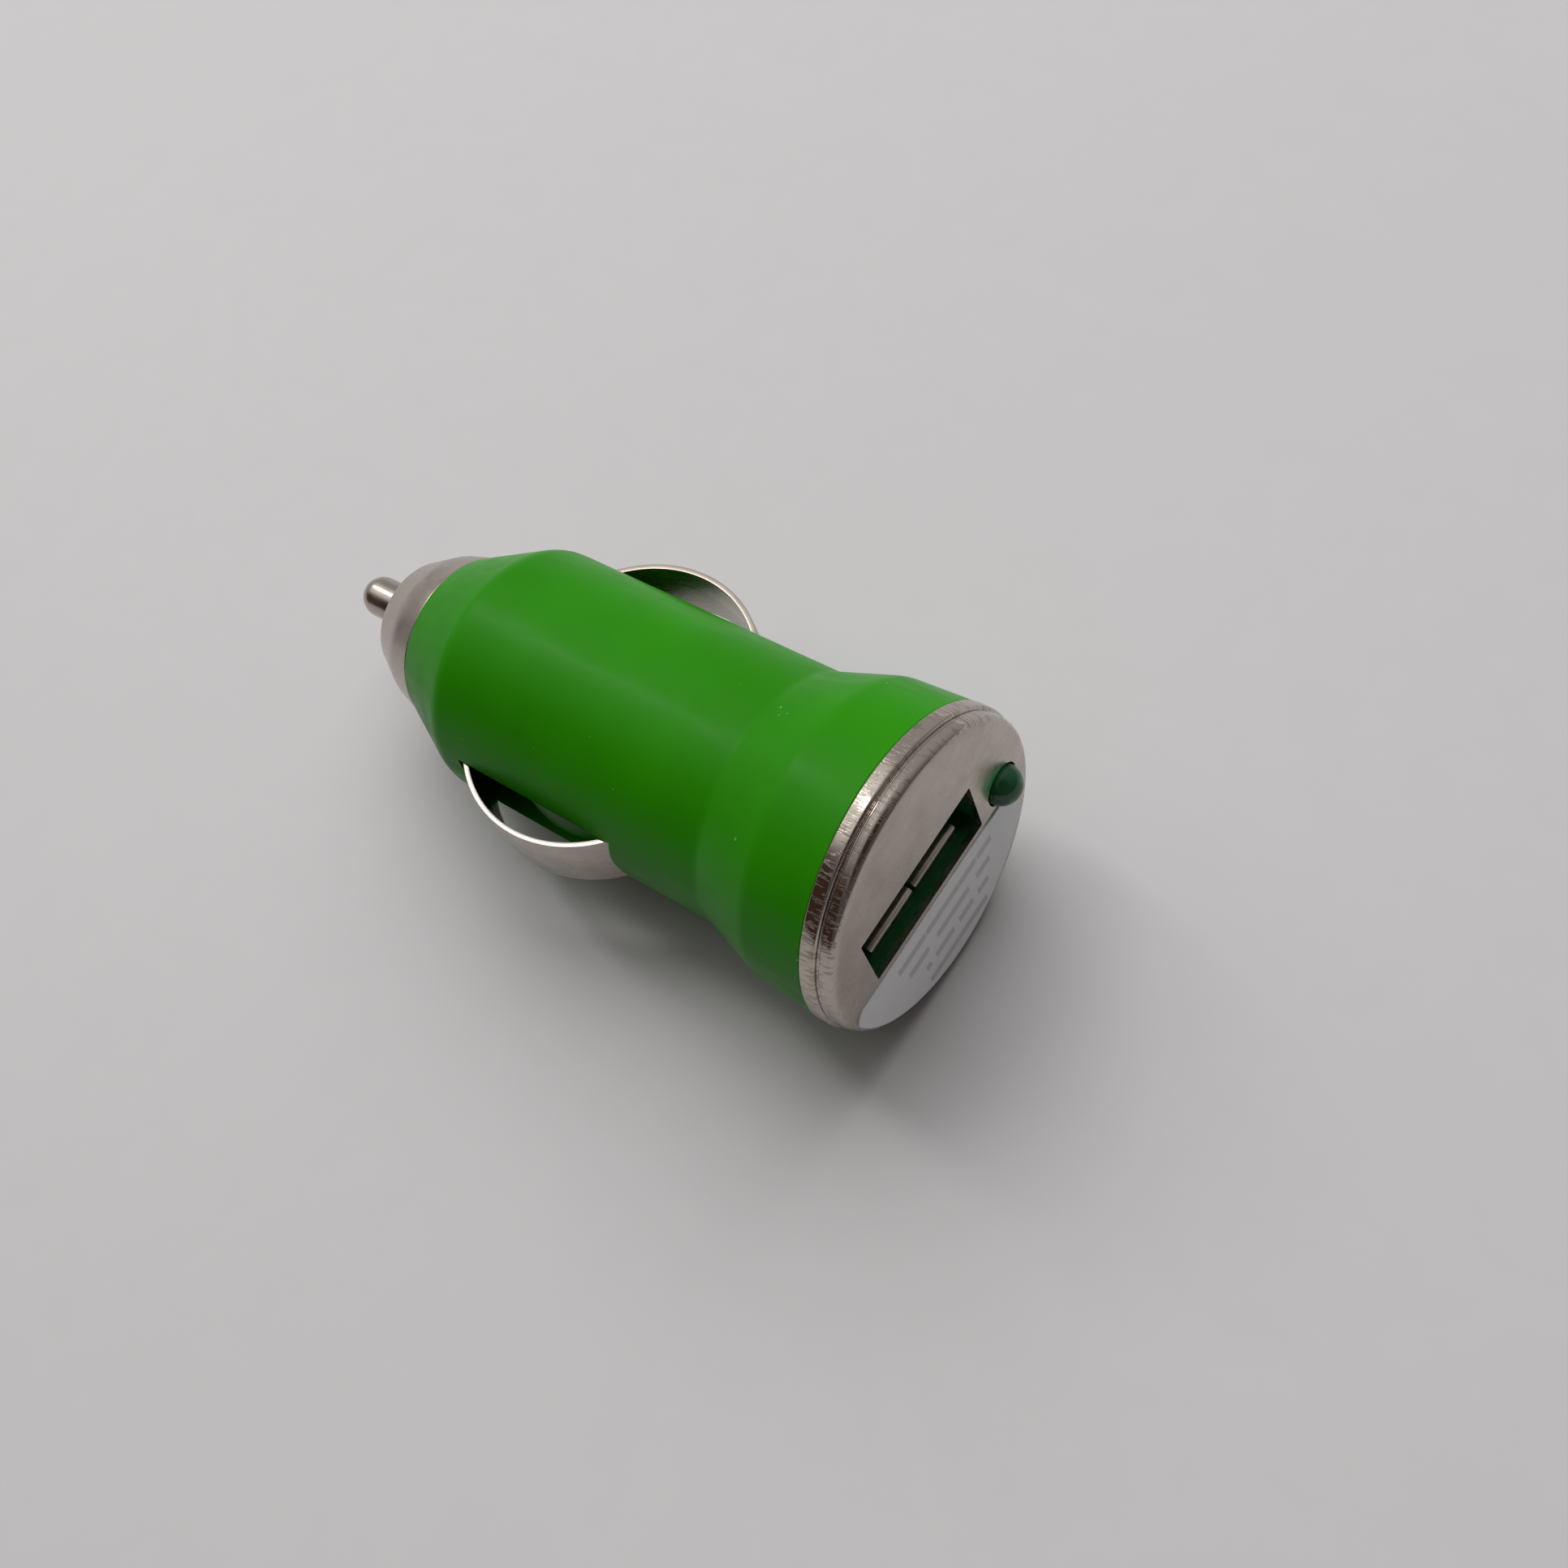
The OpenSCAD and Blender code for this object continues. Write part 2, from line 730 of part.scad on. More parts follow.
// Electrolytic can that lies along X under the board, with two leads up into it
module capacitor(x0) {
    lead_x = x0 + can_len + 0.9;
    color([0.16, 0.17, 0.3])
        union() {
            translate([0, 0, can_z])
                turned([
                    [x0, 0, 0], [x0, can_d / 2, 0.3], [x0 + can_len * 0.78, can_d / 2, 0.1],
                    [x0 + can_len * 0.82, can_d / 2 - 0.2, 0], [x0 + can_len * 0.86, can_d / 2, 0.1],
                    [x0 + can_len, can_d / 2, 0.2], [x0 + can_len, 0, 0]
                ]);
            for (s = [-1, 1]) {
                rod_x(lead_r, x0 + can_len - over, lead_x, s, can_z);
                rod_z(lead_r, can_z, board_z0, lead_x, s);
                translate([lead_x, s, can_z])
                    sphere(r = lead_r);
            }
        }
}

module diode() {
    color([0.1, 0.1, 0.1])
        rod_y(diode_d / 2, -diode_len / 2, diode_len / 2, diode_x, board_z1 + diode_d / 2);
}

module diode_leads() {
    reach = diode_len / 2 + 0.6;
    color(nickel)
        for (s = [-1, 1])
            on_side(s)
                union() {
                    rod_y(lead_r, diode_len / 2, reach, diode_x, board_z1 + diode_d / 2);
                    rod_z(lead_r, board_z1, board_z1 + diode_d / 2, diode_x, reach);
                    translate([diode_x, reach, board_z1 + diode_d / 2])
                        sphere(r = lead_r);
                }
}

// A row of small brick-shaped parts on the board's top
module chip_parts(places) {
    for (p = places)
        translate([p[0], p[1], board_z1 + chip_part[2] / 2])
            cube(chip_part, center = true);
}

module chip_resistors() {
    color([0.08, 0.08, 0.09])
        chip_parts([
            for (side = [-1, 1], i = [-1, 1])
                [resistor_x, side * resistor_y + i * resistor_pitch / 2]
        ]);
}

module chip_capacitors() {
    color([0.7, 0.6, 0.45])
        chip_parts([for (i = [-1:1]) [ceramic_x, i * ceramic_pitch]]);
}

housing();
end_cap();
face_sticker();
nose_ring();
centre_pin();
contact_spring();
spring_seat();
side_spring(-1);  // side_spring_left
side_spring(1);  // side_spring_right
side_lead(-1);  // side_lead_left
side_lead(1);  // side_lead_right
led_lamp();
led_leads();
socket_block();
usb_contact(contact_ys[0]);  // power_contact
usb_contact(contact_ys[1]);  // data_minus_contact
usb_contact(contact_ys[2]);  // data_plus_contact
usb_contact(contact_ys[3]);  // ground_contact
grip_spring(-1);  // grip_spring_left
grip_spring(1);  // grip_spring_right
circuit_board();
converter_chip();
chip_pins();
inductor_core();
inductor_winding();
capacitor(input_can_x);  // input_capacitor
capacitor(output_can_x);  // output_capacitor
diode();
diode_leads();
chip_resistors();
chip_capacitors();
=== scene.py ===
"""Looks of a small USB car charger: green moulded barrel, plated cap, nose and side springs."""

import math

import bmesh
import bpy
from bpy.props import FloatProperty, FloatVectorProperty, IntProperty, PointerProperty
from mathutils import Matrix, Vector


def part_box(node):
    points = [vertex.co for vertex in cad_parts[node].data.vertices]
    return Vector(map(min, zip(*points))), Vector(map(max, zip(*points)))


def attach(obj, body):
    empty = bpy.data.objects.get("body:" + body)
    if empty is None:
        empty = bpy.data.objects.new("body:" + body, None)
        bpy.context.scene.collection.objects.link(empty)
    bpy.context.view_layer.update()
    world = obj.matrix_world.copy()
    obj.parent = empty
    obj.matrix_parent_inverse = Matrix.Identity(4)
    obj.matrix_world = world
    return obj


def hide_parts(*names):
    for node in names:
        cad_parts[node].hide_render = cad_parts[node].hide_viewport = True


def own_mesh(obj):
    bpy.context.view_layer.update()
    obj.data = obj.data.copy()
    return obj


bl_info = {
    "name": "USB Car Charger",
    "version": (1, 0, 0),
    "blender": (4, 5, 0),
    "location": "3D View > Sidebar > Charger",
    "description": "Builds the looks of a small car charger round its CAD frame",
    "category": "Object",
}

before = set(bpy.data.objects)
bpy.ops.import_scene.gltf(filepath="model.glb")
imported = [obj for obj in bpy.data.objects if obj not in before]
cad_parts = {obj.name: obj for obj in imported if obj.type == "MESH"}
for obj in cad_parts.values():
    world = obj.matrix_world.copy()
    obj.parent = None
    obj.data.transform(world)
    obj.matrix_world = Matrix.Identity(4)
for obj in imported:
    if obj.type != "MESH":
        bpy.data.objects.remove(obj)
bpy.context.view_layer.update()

MM = 0.001
FIXED = "charger"

# Places that the frame gives
CAP_LOW, CAP_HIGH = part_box("end_cap")
STICKER_LOW, STICKER_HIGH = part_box("face_sticker")
BLOCK_LOW, BLOCK_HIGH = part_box("socket_block")
LAMP_LOW, LAMP_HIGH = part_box("led_lamp")
COIL_LOW, COIL_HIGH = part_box("contact_spring")
WINDING_LOW, WINDING_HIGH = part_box("inductor_winding")
BOW_LOW, BOW_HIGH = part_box("side_spring_right")
FACE_X = CAP_HIGH.x
CAP_RADIUS = CAP_HIGH.z
SLOT_WALL = 0.75 * MM
SLOT_Y = (BLOCK_LOW.y + BLOCK_HIGH.y) / 2
SLOT_Z = (BLOCK_LOW.z + BLOCK_HIGH.z) / 2
SLOT_W = BLOCK_HIGH.y - BLOCK_LOW.y - 2 * SLOT_WALL
SLOT_H = BLOCK_HIGH.z - BLOCK_LOW.z - 2 * SLOT_WALL


class MouldingSettings(bpy.types.PropertyGroup):
    """Finish of the moulded barrel"""

    green: FloatVectorProperty(
        name="Green", description="Colour of the moulding", subtype="COLOR", size=3,
        default=(0.019, 0.205, 0.0006), min=0, max=1)
    roughness: FloatProperty(
        name="Roughness", description="How dull the moulding's gloss is", subtype="FACTOR",
        default=0.33, min=0, max=1)


class PlatingSettings(bpy.types.PropertyGroup):
    """Finish of the plated parts"""

    nickel: FloatVectorProperty(
        name="Nickel", description="Colour of the plating", subtype="COLOR", size=3,
        default=(0.52, 0.46, 0.405), min=0, max=1)


class StickerSettings(bpy.types.PropertyGroup):
    """Sticker under the slot"""

    paper: FloatVectorProperty(
        name="Paper", description="Colour of the sticker", subtype="COLOR", size=3,
        default=(0.78, 0.78, 0.795), min=0, max=1)
    corner: FloatProperty(
        name="Corner", description="Radius of the sticker's two corners", subtype="DISTANCE",
        unit="LENGTH", default=0.9 * MM, min=0, max=3 * MM)


class WindingSettings(bpy.types.PropertyGroup):
    """Wire of the inductor and of the coil spring"""

    winding_wire: FloatProperty(
        name="Winding wire", description="Diameter of the inductor's wire", subtype="DISTANCE",
        unit="LENGTH", default=0.28 * MM, min=0.05 * MM, max=1 * MM)
    spring_wire: FloatProperty(
        name="Spring wire", description="Diameter of the tip spring's wire", subtype="DISTANCE",
        unit="LENGTH", default=0.44 * MM, min=0.1 * MM, max=1 * MM)
    spring_turns: IntProperty(
        name="Spring turns", description="Turns of the spring behind the tip",
        default=7, min=3, max=20)


class StageSettings(bpy.types.PropertyGroup):
    """Floor, lights and camera"""

    floor: FloatVectorProperty(
        name="Floor", description="Colour of the floor", subtype="COLOR", size=3,
        default=(0.515, 0.508, 0.517), min=0, max=1)
    lens: FloatProperty(
        name="Lens", description="Focal length on a sensor 36 mm wide, in millimetres",
        default=39.35, min=10, max=200)


def settings(name):
    return getattr(bpy.context.scene, name)


# Materials

class Finish:
    """A node material with one Principled shader, and short ways to add nodes to it."""

    def __init__(self, name, **sockets):
        self.material = bpy.data.materials.new(name)
        self.material.use_nodes = True
        self.tree = self.material.node_tree
        self.shader = self.tree.nodes["Principled BSDF"]
        for key, value in sockets.items():
            self.set(key.replace("_", " "), value)
        self.place = self.node("ShaderNodeTexCoord").outputs["Object"]

    def set(self, socket, value):
        if isinstance(value, bpy.types.NodeSocket):
            self.tree.links.new(value, self.shader.inputs[socket])
        else:
            if hasattr(value, "__len__") and len(value) == 3 and socket != "Subsurface Radius":
                value = (*value, 1)
            self.shader.inputs[socket].default_value = value

    def node(self, kind, inputs=None, **attributes):
        made = self.tree.nodes.new(kind)
        for key, value in attributes.items():
            setattr(made, key, value)
        for key, value in (inputs or {}).items():
            if isinstance(value, bpy.types.NodeSocket):
                self.tree.links.new(value, made.inputs[key])
            else:
                made.inputs[key].default_value = value
        return made

    def stretched(self, scale, place=None):
        """Place stretched by a scale on each axis."""
        return self.node("ShaderNodeMapping", {0: place or self.place, "Scale": scale}).outputs[0]

    def noise(self, scale, detail=3, place=None, roughness=0.5):
        return self.node("ShaderNodeTexNoise", {
            "Vector": place or self.place, "Scale": scale, "Detail": detail, "Roughness": roughness,
        }).outputs["Fac"]

    def ramp(self, factor, low, high, to_low=0.0, to_high=1.0):
        """Factor from low to high, mapped to to_low up to to_high."""
        return self.node("ShaderNodeMapRange", {
            "Value": factor, "From Min": low, "From Max": high, "To Min": to_low, "To Max": to_high,
        }).outputs["Result"]

    def mix(self, factor, a, b):
        made = self.node("ShaderNodeMix", {0: factor}, data_type="RGBA")
        for index, value in ((6, a), (7, b)):
            if isinstance(value, bpy.types.NodeSocket):
                self.tree.links.new(value, made.inputs[index])
            else:
                made.inputs[index].default_value = (*value, 1)
        return made.outputs[2]

    def maths(self, operation, a, b=0.0):
        return self.node("ShaderNodeMath", {0: a, 1: b}, operation=operation).outputs[0]

    def bump(self, height, distance, strength=1.0):
        made = self.node("ShaderNodeBump", {"Height": height, "Distance": distance, "Strength": strength})
        self.set("Normal", made.outputs[0])

    def round_place(self, around, along):
        """Place unrolled round the X axis: angle times around, and X times along."""
        parts = self.node("ShaderNodeSeparateXYZ", {0: self.place}).outputs
        angle = self.maths("ARCTAN2", parts["Y"], parts["Z"])
        turn = self.maths("MULTIPLY", angle, around)
        length = self.maths("MULTIPLY", parts["X"], along)
        return self.node("ShaderNodeCombineXYZ", {"X": turn, "Y": length}).outputs[0]


def shade(color, factor):
    return tuple(min(1.0, c * factor) for c in color)


def moulded_green():
    """Glossy green plastic with a slow change of tone, faint scuffs and a few specks of dust."""
    props = settings("charger_moulding")
    finish = Finish("moulded_green", IOR=1.5)
    green = tuple(props.green)
    tone = finish.ramp(finish.noise(90, 2), 0.35, 0.65)
    body = finish.mix(tone, shade(green, 0.92), shade(green, 1.08))
    speck = finish.ramp(finish.noise(2600, 1), 0.775, 0.80)
    few = finish.ramp(finish.noise(260, 2), 0.52, 0.62)
    dust = finish.maths("MULTIPLY", finish.maths("MULTIPLY", speck, few), 0.5)
    finish.set("Base Color", finish.mix(dust, body, (0.5, 0.55, 0.42)))
    scuff = finish.noise(900, 4, finish.stretched((0.25, 1, 1)))
    finish.set("Roughness", finish.ramp(scuff, 0.3, 0.8, props.roughness - 0.05, props.roughness + 0.12))
    finish.set("Specular IOR Level", 0.1)
    finish.set("Subsurface Weight", 0.1)
    finish.set("Subsurface Radius", (0.0004, 0.0012, 0.0002))
    finish.set("Subsurface Scale", 1.0)
    finish.bump(finish.noise(700, 3), 0.00002, 0.35)
    return finish.material


def nickel_face():
    """Satin nickel of the cap, with pits and wipe marks; the rear band has its own finish."""
    finish = Finish("nickel_cap", Metallic=1.0)
    nickel = tuple(settings("charger_plating").nickel)
    stain = finish.ramp(finish.noise(420, 4), 0.35, 0.7)
    finish.set("Base Color", finish.mix(stain, shade(nickel, 0.88), shade(nickel, 1.06)))
    wipe = finish.noise(1500, 5, finish.stretched((1, 0.35, 1)))
    finish.set("Roughness", finish.ramp(wipe, 0.3, 0.75, 0.2, 0.38))
    pits = finish.ramp(finish.noise(2600, 2), 0.7, 0.78)
    soft = finish.noise(1300, 3)
    finish.bump(finish.maths("SUBTRACT", soft, finish.maths("MULTIPLY", pits, 0.8)), 0.000006, 0.5)
    return finish.material


def nickel_band():
    """Bright nickel of the band and bead, crossed by many short scratches along the axis."""
    finish = Finish("nickel_band", Metallic=1.0)
    nickel = tuple(settings("charger_plating").nickel)
    line = finish.noise(1, 3, finish.round_place(95, 420), 0.65)
    faint = finish.noise(1, 2, finish.round_place(34, 900))
    marks = finish.ramp(finish.maths("MULTIPLY", line, faint), 0.27, 0.33)
    finish.set("Base Color", finish.mix(marks, nickel, shade(nickel, 0.72)))
    finish.set("Roughness", finish.ramp(marks, 0, 1, 0.09, 0.3))
    finish.bump(finish.maths("SUBTRACT", 1.0, marks), 0.00001, 0.6)
    return finish.material


def nickel_turned(name, roughness=0.24):
    """Nickel of the turned nose parts, with faint rings of the lathe tool."""
    finish = Finish(name, Metallic=1.0)
    nickel = tuple(settings("charger_plating").nickel)
    rings = finish.noise(1, 3, finish.round_place(0.6, 9000))
    blotch = finish.noise(700, 4)
    finish.set("Base Color", finish.mix(finish.ramp(blotch, 0.35, 0.7), shade(nickel, 0.86), shade(nickel, 1.05)))
    finish.set("Roughness", finish.ramp(blotch, 0.3, 0.7, roughness - 0.04, roughness + 0.1))
    finish.bump(finish.maths("ADD", rings, finish.maths("MULTIPLY", blotch, 0.6)), 0.000012, 0.5)
    return finish.material


def nickel_strip():
    """Nickel-plated spring strip, drawn along its length."""
    finish = Finish("nickel_strip", Metallic=1.0)
    nickel = tuple(settings("charger_plating").nickel)
    drawn = finish.noise(1, 4, finish.stretched((260, 260, 6500)))
    cloud = finish.noise(500, 3)
    finish.set("Base Color", finish.mix(finish.ramp(cloud, 0.3, 0.7), shade(nickel, 0.82), shade(nickel, 1.0)))
    finish.set("Roughness", finish.ramp(drawn, 0.3, 0.7, 0.2, 0.34))
    finish.bump(drawn, 0.000012, 0.5)
    return finish.material


def socket_green_painted_shade():
    """Dark green plastic inside the slot; its darkness against the barrel's green is painted shade of the deep slot.
    """
    finish = Finish("socket_green_painted_shade", IOR=1.5)
    tone = finish.ramp(finish.noise(900, 3), 0.3, 0.7)
    # Painted shade: the slot's walls get a much darker green than the moulding, for the shade inside the slot.
    finish.set("Base Color", finish.mix(tone, (0.006, 0.075, 0.016), (0.009, 0.105, 0.024)))
    finish.set("Roughness", finish.ramp(finish.noise(1500, 3), 0.3, 0.7, 0.3, 0.45))
    finish.bump(finish.noise(2200, 3), 0.00001, 0.5)
    return finish.material


def sticker_paper():
    """White paper with rows of faint grey bars where a rating would be printed."""
    finish = Finish("sticker_paper")
    paper = tuple(settings("charger_sticker").paper)
    parts = finish.node("ShaderNodeSeparateXYZ", {0: finish.place}).outputs
    top = STICKER_HIGH.z - 0.75 * MM
    row_pitch = 1.8 * MM
    row = finish.maths("DIVIDE", finish.maths("SUBTRACT", top, parts["Z"]), row_pitch)
    within = finish.maths("FRACT", row)
    in_row = finish.maths("MULTIPLY", finish.maths("GREATER_THAN", within, 0.26), finish.maths("LESS_THAN", within, 0.66))
    on_rows = finish.maths("MULTIPLY", finish.maths("GREATER_THAN", row, 0.0), finish.maths("LESS_THAN", row, 4.0))
    row_number = finish.maths("FLOOR", row)
    half_length = finish.maths("SUBTRACT", 5.7 * MM, finish.maths("MULTIPLY", row_number, 0.7 * MM))
    side = finish.maths("ABSOLUTE", finish.maths("ADD", parts["Y"], 0.2 * MM))
    in_length = finish.maths("LESS_THAN", side, half_length)
    words = finish.node("ShaderNodeCombineXYZ", {
        "X": finish.maths("MULTIPLY", parts["Y"], 620), "Y": finish.maths("MULTIPLY", row_number, 7.3)}).outputs[0]
    broken = finish.ramp(finish.noise(1, 1, words), 0.38, 0.4)
    ink = finish.maths("MULTIPLY", finish.maths("MULTIPLY", in_row, on_rows), finish.maths("MULTIPLY", in_length, broken))
    fibres = finish.noise(4000, 4)
    sheet = finish.mix(finish.ramp(fibres, 0.3, 0.7), shade(paper, 0.96), paper)
    finish.set("Base Color", finish.mix(finish.maths("MULTIPLY", ink, 0.36), sheet, (0.14, 0.14, 0.15)))
    finish.set("Roughness", 0.5)
    finish.bump(fibres, 0.00001, 0.4)
    return finish.material


def lamp_epoxy():
    """Clear green epoxy of the lamp."""
    finish = Finish("lamp_epoxy", IOR=1.52, Roughness=0.06)
    finish.set("Transmission Weight", 0.85)
    finish.set("Base Color", (0.03, 0.42, 0.12))
    finish.bump(finish.noise(1500, 2), 0.00001, 0.3)
    return finish.material


def soft_plastic(name, dark, light, roughness=0.45, scale=1500):
    """Plain moulded or printed surface whose tone wanders between two colours."""
    finish = Finish(name)
    grain = finish.noise(scale, 4)
    finish.set("Base Color", finish.mix(finish.ramp(grain, 0.3, 0.7), dark, light))
    finish.set("Roughness", finish.ramp(grain, 0.3, 0.7, roughness - 0.06, roughness + 0.08))
    finish.bump(grain, 0.000012, 0.5)
    return finish.material


def plain_metal(name, dark, light, roughness=0.3, scale=1800):
    """Drawn or plated metal whose tone wanders between two colours."""
    finish = Finish(name, Metallic=1.0)
    grain = finish.noise(scale, 4)
    finish.set("Base Color", finish.mix(finish.ramp(grain, 0.3, 0.7), dark, light))
    finish.set("Roughness", finish.ramp(grain, 0.3, 0.7, roughness - 0.08, roughness + 0.1))
    finish.bump(grain, 0.00001, 0.4)
    return finish.material


def dress(node, material):
    """Gives a CAD node one material."""
    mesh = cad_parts[node].data
    mesh.materials.clear()
    mesh.materials.append(material)


# Meshes

def new_piece(name, mesh, material=None):
    piece = bpy.data.objects.new(name, mesh)
    bpy.context.scene.collection.objects.link(piece)
    if material:
        mesh.materials.append(material)
    return piece


def smooth(mesh, angle=35):
    for polygon in mesh.polygons:
        polygon.use_smooth = True
    mesh.set_sharp_from_angle(angle=math.radians(angle))
    return mesh


def mesh_from(name, work, angle=35):
    """Finishes a bmesh: doubles merged, normals outwards, smooth between sharp edges."""
    bmesh.ops.remove_doubles(work, verts=work.verts, dist=1e-7)
    bmesh.ops.recalc_face_normals(work, faces=work.faces)
    mesh = bpy.data.meshes.new(name)
    work.to_mesh(mesh)
    work.free()
    return smooth(mesh, angle)


def arc_points(centre, radius, start, end, steps):
    """Points of an arc from start to end degrees."""
    return [
        (centre[0] + radius * math.cos(math.radians(start + (end - start) * i / steps)),
         centre[1] + radius * math.sin(math.radians(start + (end - start) * i / steps)))
        for i in range(steps + 1)
    ]


def revolved(outline, steps=192, y=0.0, z=0.0):
    """A closed outline of (x, radius) points turned about a line along X."""
    work = bmesh.new()
    rings = []
    for x, radius in outline:
        if radius < 1e-9:
            rings.append([work.verts.new((x, y, z))])
            continue
        turns = (math.tau * i / steps for i in range(steps))
        rings.append([work.verts.new((x, y + radius * math.sin(a), z + radius * math.cos(a))) for a in turns])
    for ring, after in zip(rings, rings[1:] + rings[:1]):
        if len(ring) == 1 and len(after) == 1:
            continue
        for i in range(steps):
            j = (i + 1) % steps
            if len(ring) == 1:
                work.faces.new((ring[0], after[j], after[i]))
            elif len(after) == 1:
                work.faces.new((ring[i], ring[j], after[0]))
            else:
                work.faces.new((ring[i], ring[j], after[j], after[i]))
    return work


def apply_modifiers(piece, angle=None):
    """Turns a piece with modifiers into a plain mesh piece."""
    graph = bpy.context.evaluated_depsgraph_get()
    graph.update()
    mesh = bpy.data.meshes.new_from_object(piece.evaluated_get(graph))
    piece.modifiers.clear()
    piece.data = mesh
    if angle is not None:
        smooth(mesh, angle)
    return piece


def cut(piece, *cutters):
    """Takes the cutters' shapes out of a piece."""
    for cutter in cutters:
        modifier = piece.modifiers.new("Cut", "BOOLEAN")
        modifier.operation = "DIFFERENCE"
        modifier.solver = "EXACT"
        modifier.object = cutter
    apply_modifiers(piece)
    for cutter in cutters:
        bpy.data.objects.remove(cutter)
    return piece


def rounded_rectangle(width, height, radius, steps=6):
    """Outline of a rectangle with round corners, centred on zero."""
    corners = []
    for sx, sy, start in ((1, 1, 0), (-1, 1, 90), (-1, -1, 180), (1, -1, 270)):
        centre = (sx * (width / 2 - radius), sy * (height / 2 - radius))
        corners += arc_points(centre, radius, start, start + 90, steps)
    return corners


def prism_x(name, outline, x0, x1, y=0.0, z=0.0):
    """A closed prism along X whose section is an outline of (y, z) points."""
    work = bmesh.new()
    ends = [[work.verts.new((x, y + p[0], z + p[1])) for p in outline] for x in (x0, x1)]
    for i in range(len(outline)):
        j = (i + 1) % len(outline)
        work.faces.new((ends[0][i], ends[0][j], ends[1][j], ends[1][i]))
    work.faces.new(ends[0])
    work.faces.new(ends[1])
    return new_piece(name, mesh_from(name, work))


def bevelled(piece, width, segments=3, angle=30):
    """Rounds every edge sharper than an angle."""
    modifier = piece.modifiers.new("Edges", "BEVEL")
    modifier.width = width
    modifier.segments = segments
    modifier.limit_method = "ANGLE"
    modifier.angle_limit = math.radians(angle)
    modifier.harden_normals = False
    return apply_modifiers(piece, 40)


def stand_for(piece, node, body=FIXED):
    """A finished piece rides on a body and takes a CAD node's place."""
    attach(piece, body)
    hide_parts(node)
    return piece


# Geometry node trees

class Tree:
    """A geometry node tree with named inputs, and short ways to add nodes to it."""

    def __init__(self, name, **inputs):
        self.tree = bpy.data.node_groups.new(name, "GeometryNodeTree")
        self.inputs = {}
        for key, kind in inputs.items():
            self.inputs[key] = self.tree.interface.new_socket(
                key.replace("_", " ").capitalize(), in_out="INPUT", socket_type=kind)
        self.tree.interface.new_socket("Geometry", in_out="OUTPUT", socket_type="NodeSocketGeometry")
        self.group = self.tree.nodes.new("NodeGroupInput")

    def given(self, key):
        return self.group.outputs[self.inputs[key].name]

    def node(self, kind, inputs=None, **attributes):
        made = self.tree.nodes.new(kind)
        for key, value in attributes.items():
            setattr(made, key, value)
        for key, value in (inputs or {}).items():
            if isinstance(value, bpy.types.NodeSocket):
                self.tree.links.new(value, made.inputs[key])
            else:
                made.inputs[key].default_value = value
        return made

    def maths(self, operation, a, b=0.0):
        return self.node("ShaderNodeMath", {0: a, 1: b}, operation=operation).outputs[0]

    def finish(self, geometry, material):
        real = self.node("GeometryNodeRealizeInstances", {0: geometry}).outputs[0]
        painted = self.node("GeometryNodeSetMaterial", {0: real, "Material": material}).outputs[0]
        out = self.tree.nodes.new("NodeGroupOutput")
        self.tree.links.new(painted, out.inputs[0])

    def grow(self, name, angle=60, **values):
        """Runs the tree on an empty mesh and returns the result as a plain mesh piece."""
        piece = new_piece(name, bpy.data.meshes.new(name))
        modifier = piece.modifiers.new("Nodes", "NODES")
        modifier.node_group = self.tree
        for key, value in values.items():
            modifier[self.inputs[key].identifier] = value
        return apply_modifiers(piece, angle)


def coil_tree(material):
    """A coil along X with closed turns at both ends."""
    tree = Tree(
        "coil", start="NodeSocketFloat", end="NodeSocketFloat", coil_radius="NodeSocketFloat",
        wire_radius="NodeSocketFloat", turns="NodeSocketInt")
    points = tree.maths("MULTIPLY", tree.given("turns"), 48)
    line = tree.node("GeometryNodeCurvePrimitiveLine", {"End": (1, 0, 0)}).outputs[0]
    line = tree.node("GeometryNodeResampleCurve", {"Curve": line, "Count": points}, mode="COUNT").outputs[0]
    share = tree.node("GeometryNodeSplineParameter").outputs["Factor"]
    angle = tree.maths("MULTIPLY", tree.maths("MULTIPLY", share, tree.given("turns")), math.tau)
    closed = tree.maths("DIVIDE", 1.0, tree.given("turns"))
    open_share = tree.maths("SUBTRACT", 1.0, tree.maths("MULTIPLY", closed, 2.0))
    rising = tree.node("ShaderNodeClamp", {
        "Value": tree.maths("DIVIDE", tree.maths("SUBTRACT", share, closed), open_share)}).outputs[0]
    first = tree.node("ShaderNodeClamp", {"Value": tree.maths("DIVIDE", share, closed)}).outputs[0]
    last = tree.node("ShaderNodeClamp", {
        "Value": tree.maths("DIVIDE", tree.maths("SUBTRACT", share, tree.maths("SUBTRACT", 1.0, closed)), closed),
    }).outputs[0]
    wire = tree.maths("MULTIPLY", tree.given("wire_radius"), 2.0)
    length = tree.maths("SUBTRACT", tree.given("end"), tree.given("start"))
    free = tree.maths("SUBTRACT", length, tree.maths("MULTIPLY", wire, 3.0))
    ends = tree.maths("MULTIPLY", tree.maths("ADD", first, last), wire)
    x = tree.maths("ADD", tree.maths("ADD", tree.given("start"), tree.given("wire_radius")), ends)
    x = tree.maths("ADD", x, tree.maths("MULTIPLY", free, rising))
    y = tree.maths("MULTIPLY", tree.given("coil_radius"), tree.maths("COSINE", angle))
    z = tree.maths("MULTIPLY", tree.given("coil_radius"), tree.maths("SINE", angle))
    place = tree.node("ShaderNodeCombineXYZ", {"X": x, "Y": y, "Z": z}).outputs[0]
    curve = tree.node("GeometryNodeSetPosition", {0: line, "Position": place}).outputs[0]
    section = tree.node("GeometryNodeCurvePrimitiveCircle", {
        "Resolution": 14, "Radius": tree.given("wire_radius")}).outputs[0]
    tube = tree.node("GeometryNodeCurveToMesh", {0: curve, 1: section, "Fill Caps": True}).outputs[0]
    tree.finish(tube, material)
    return tree


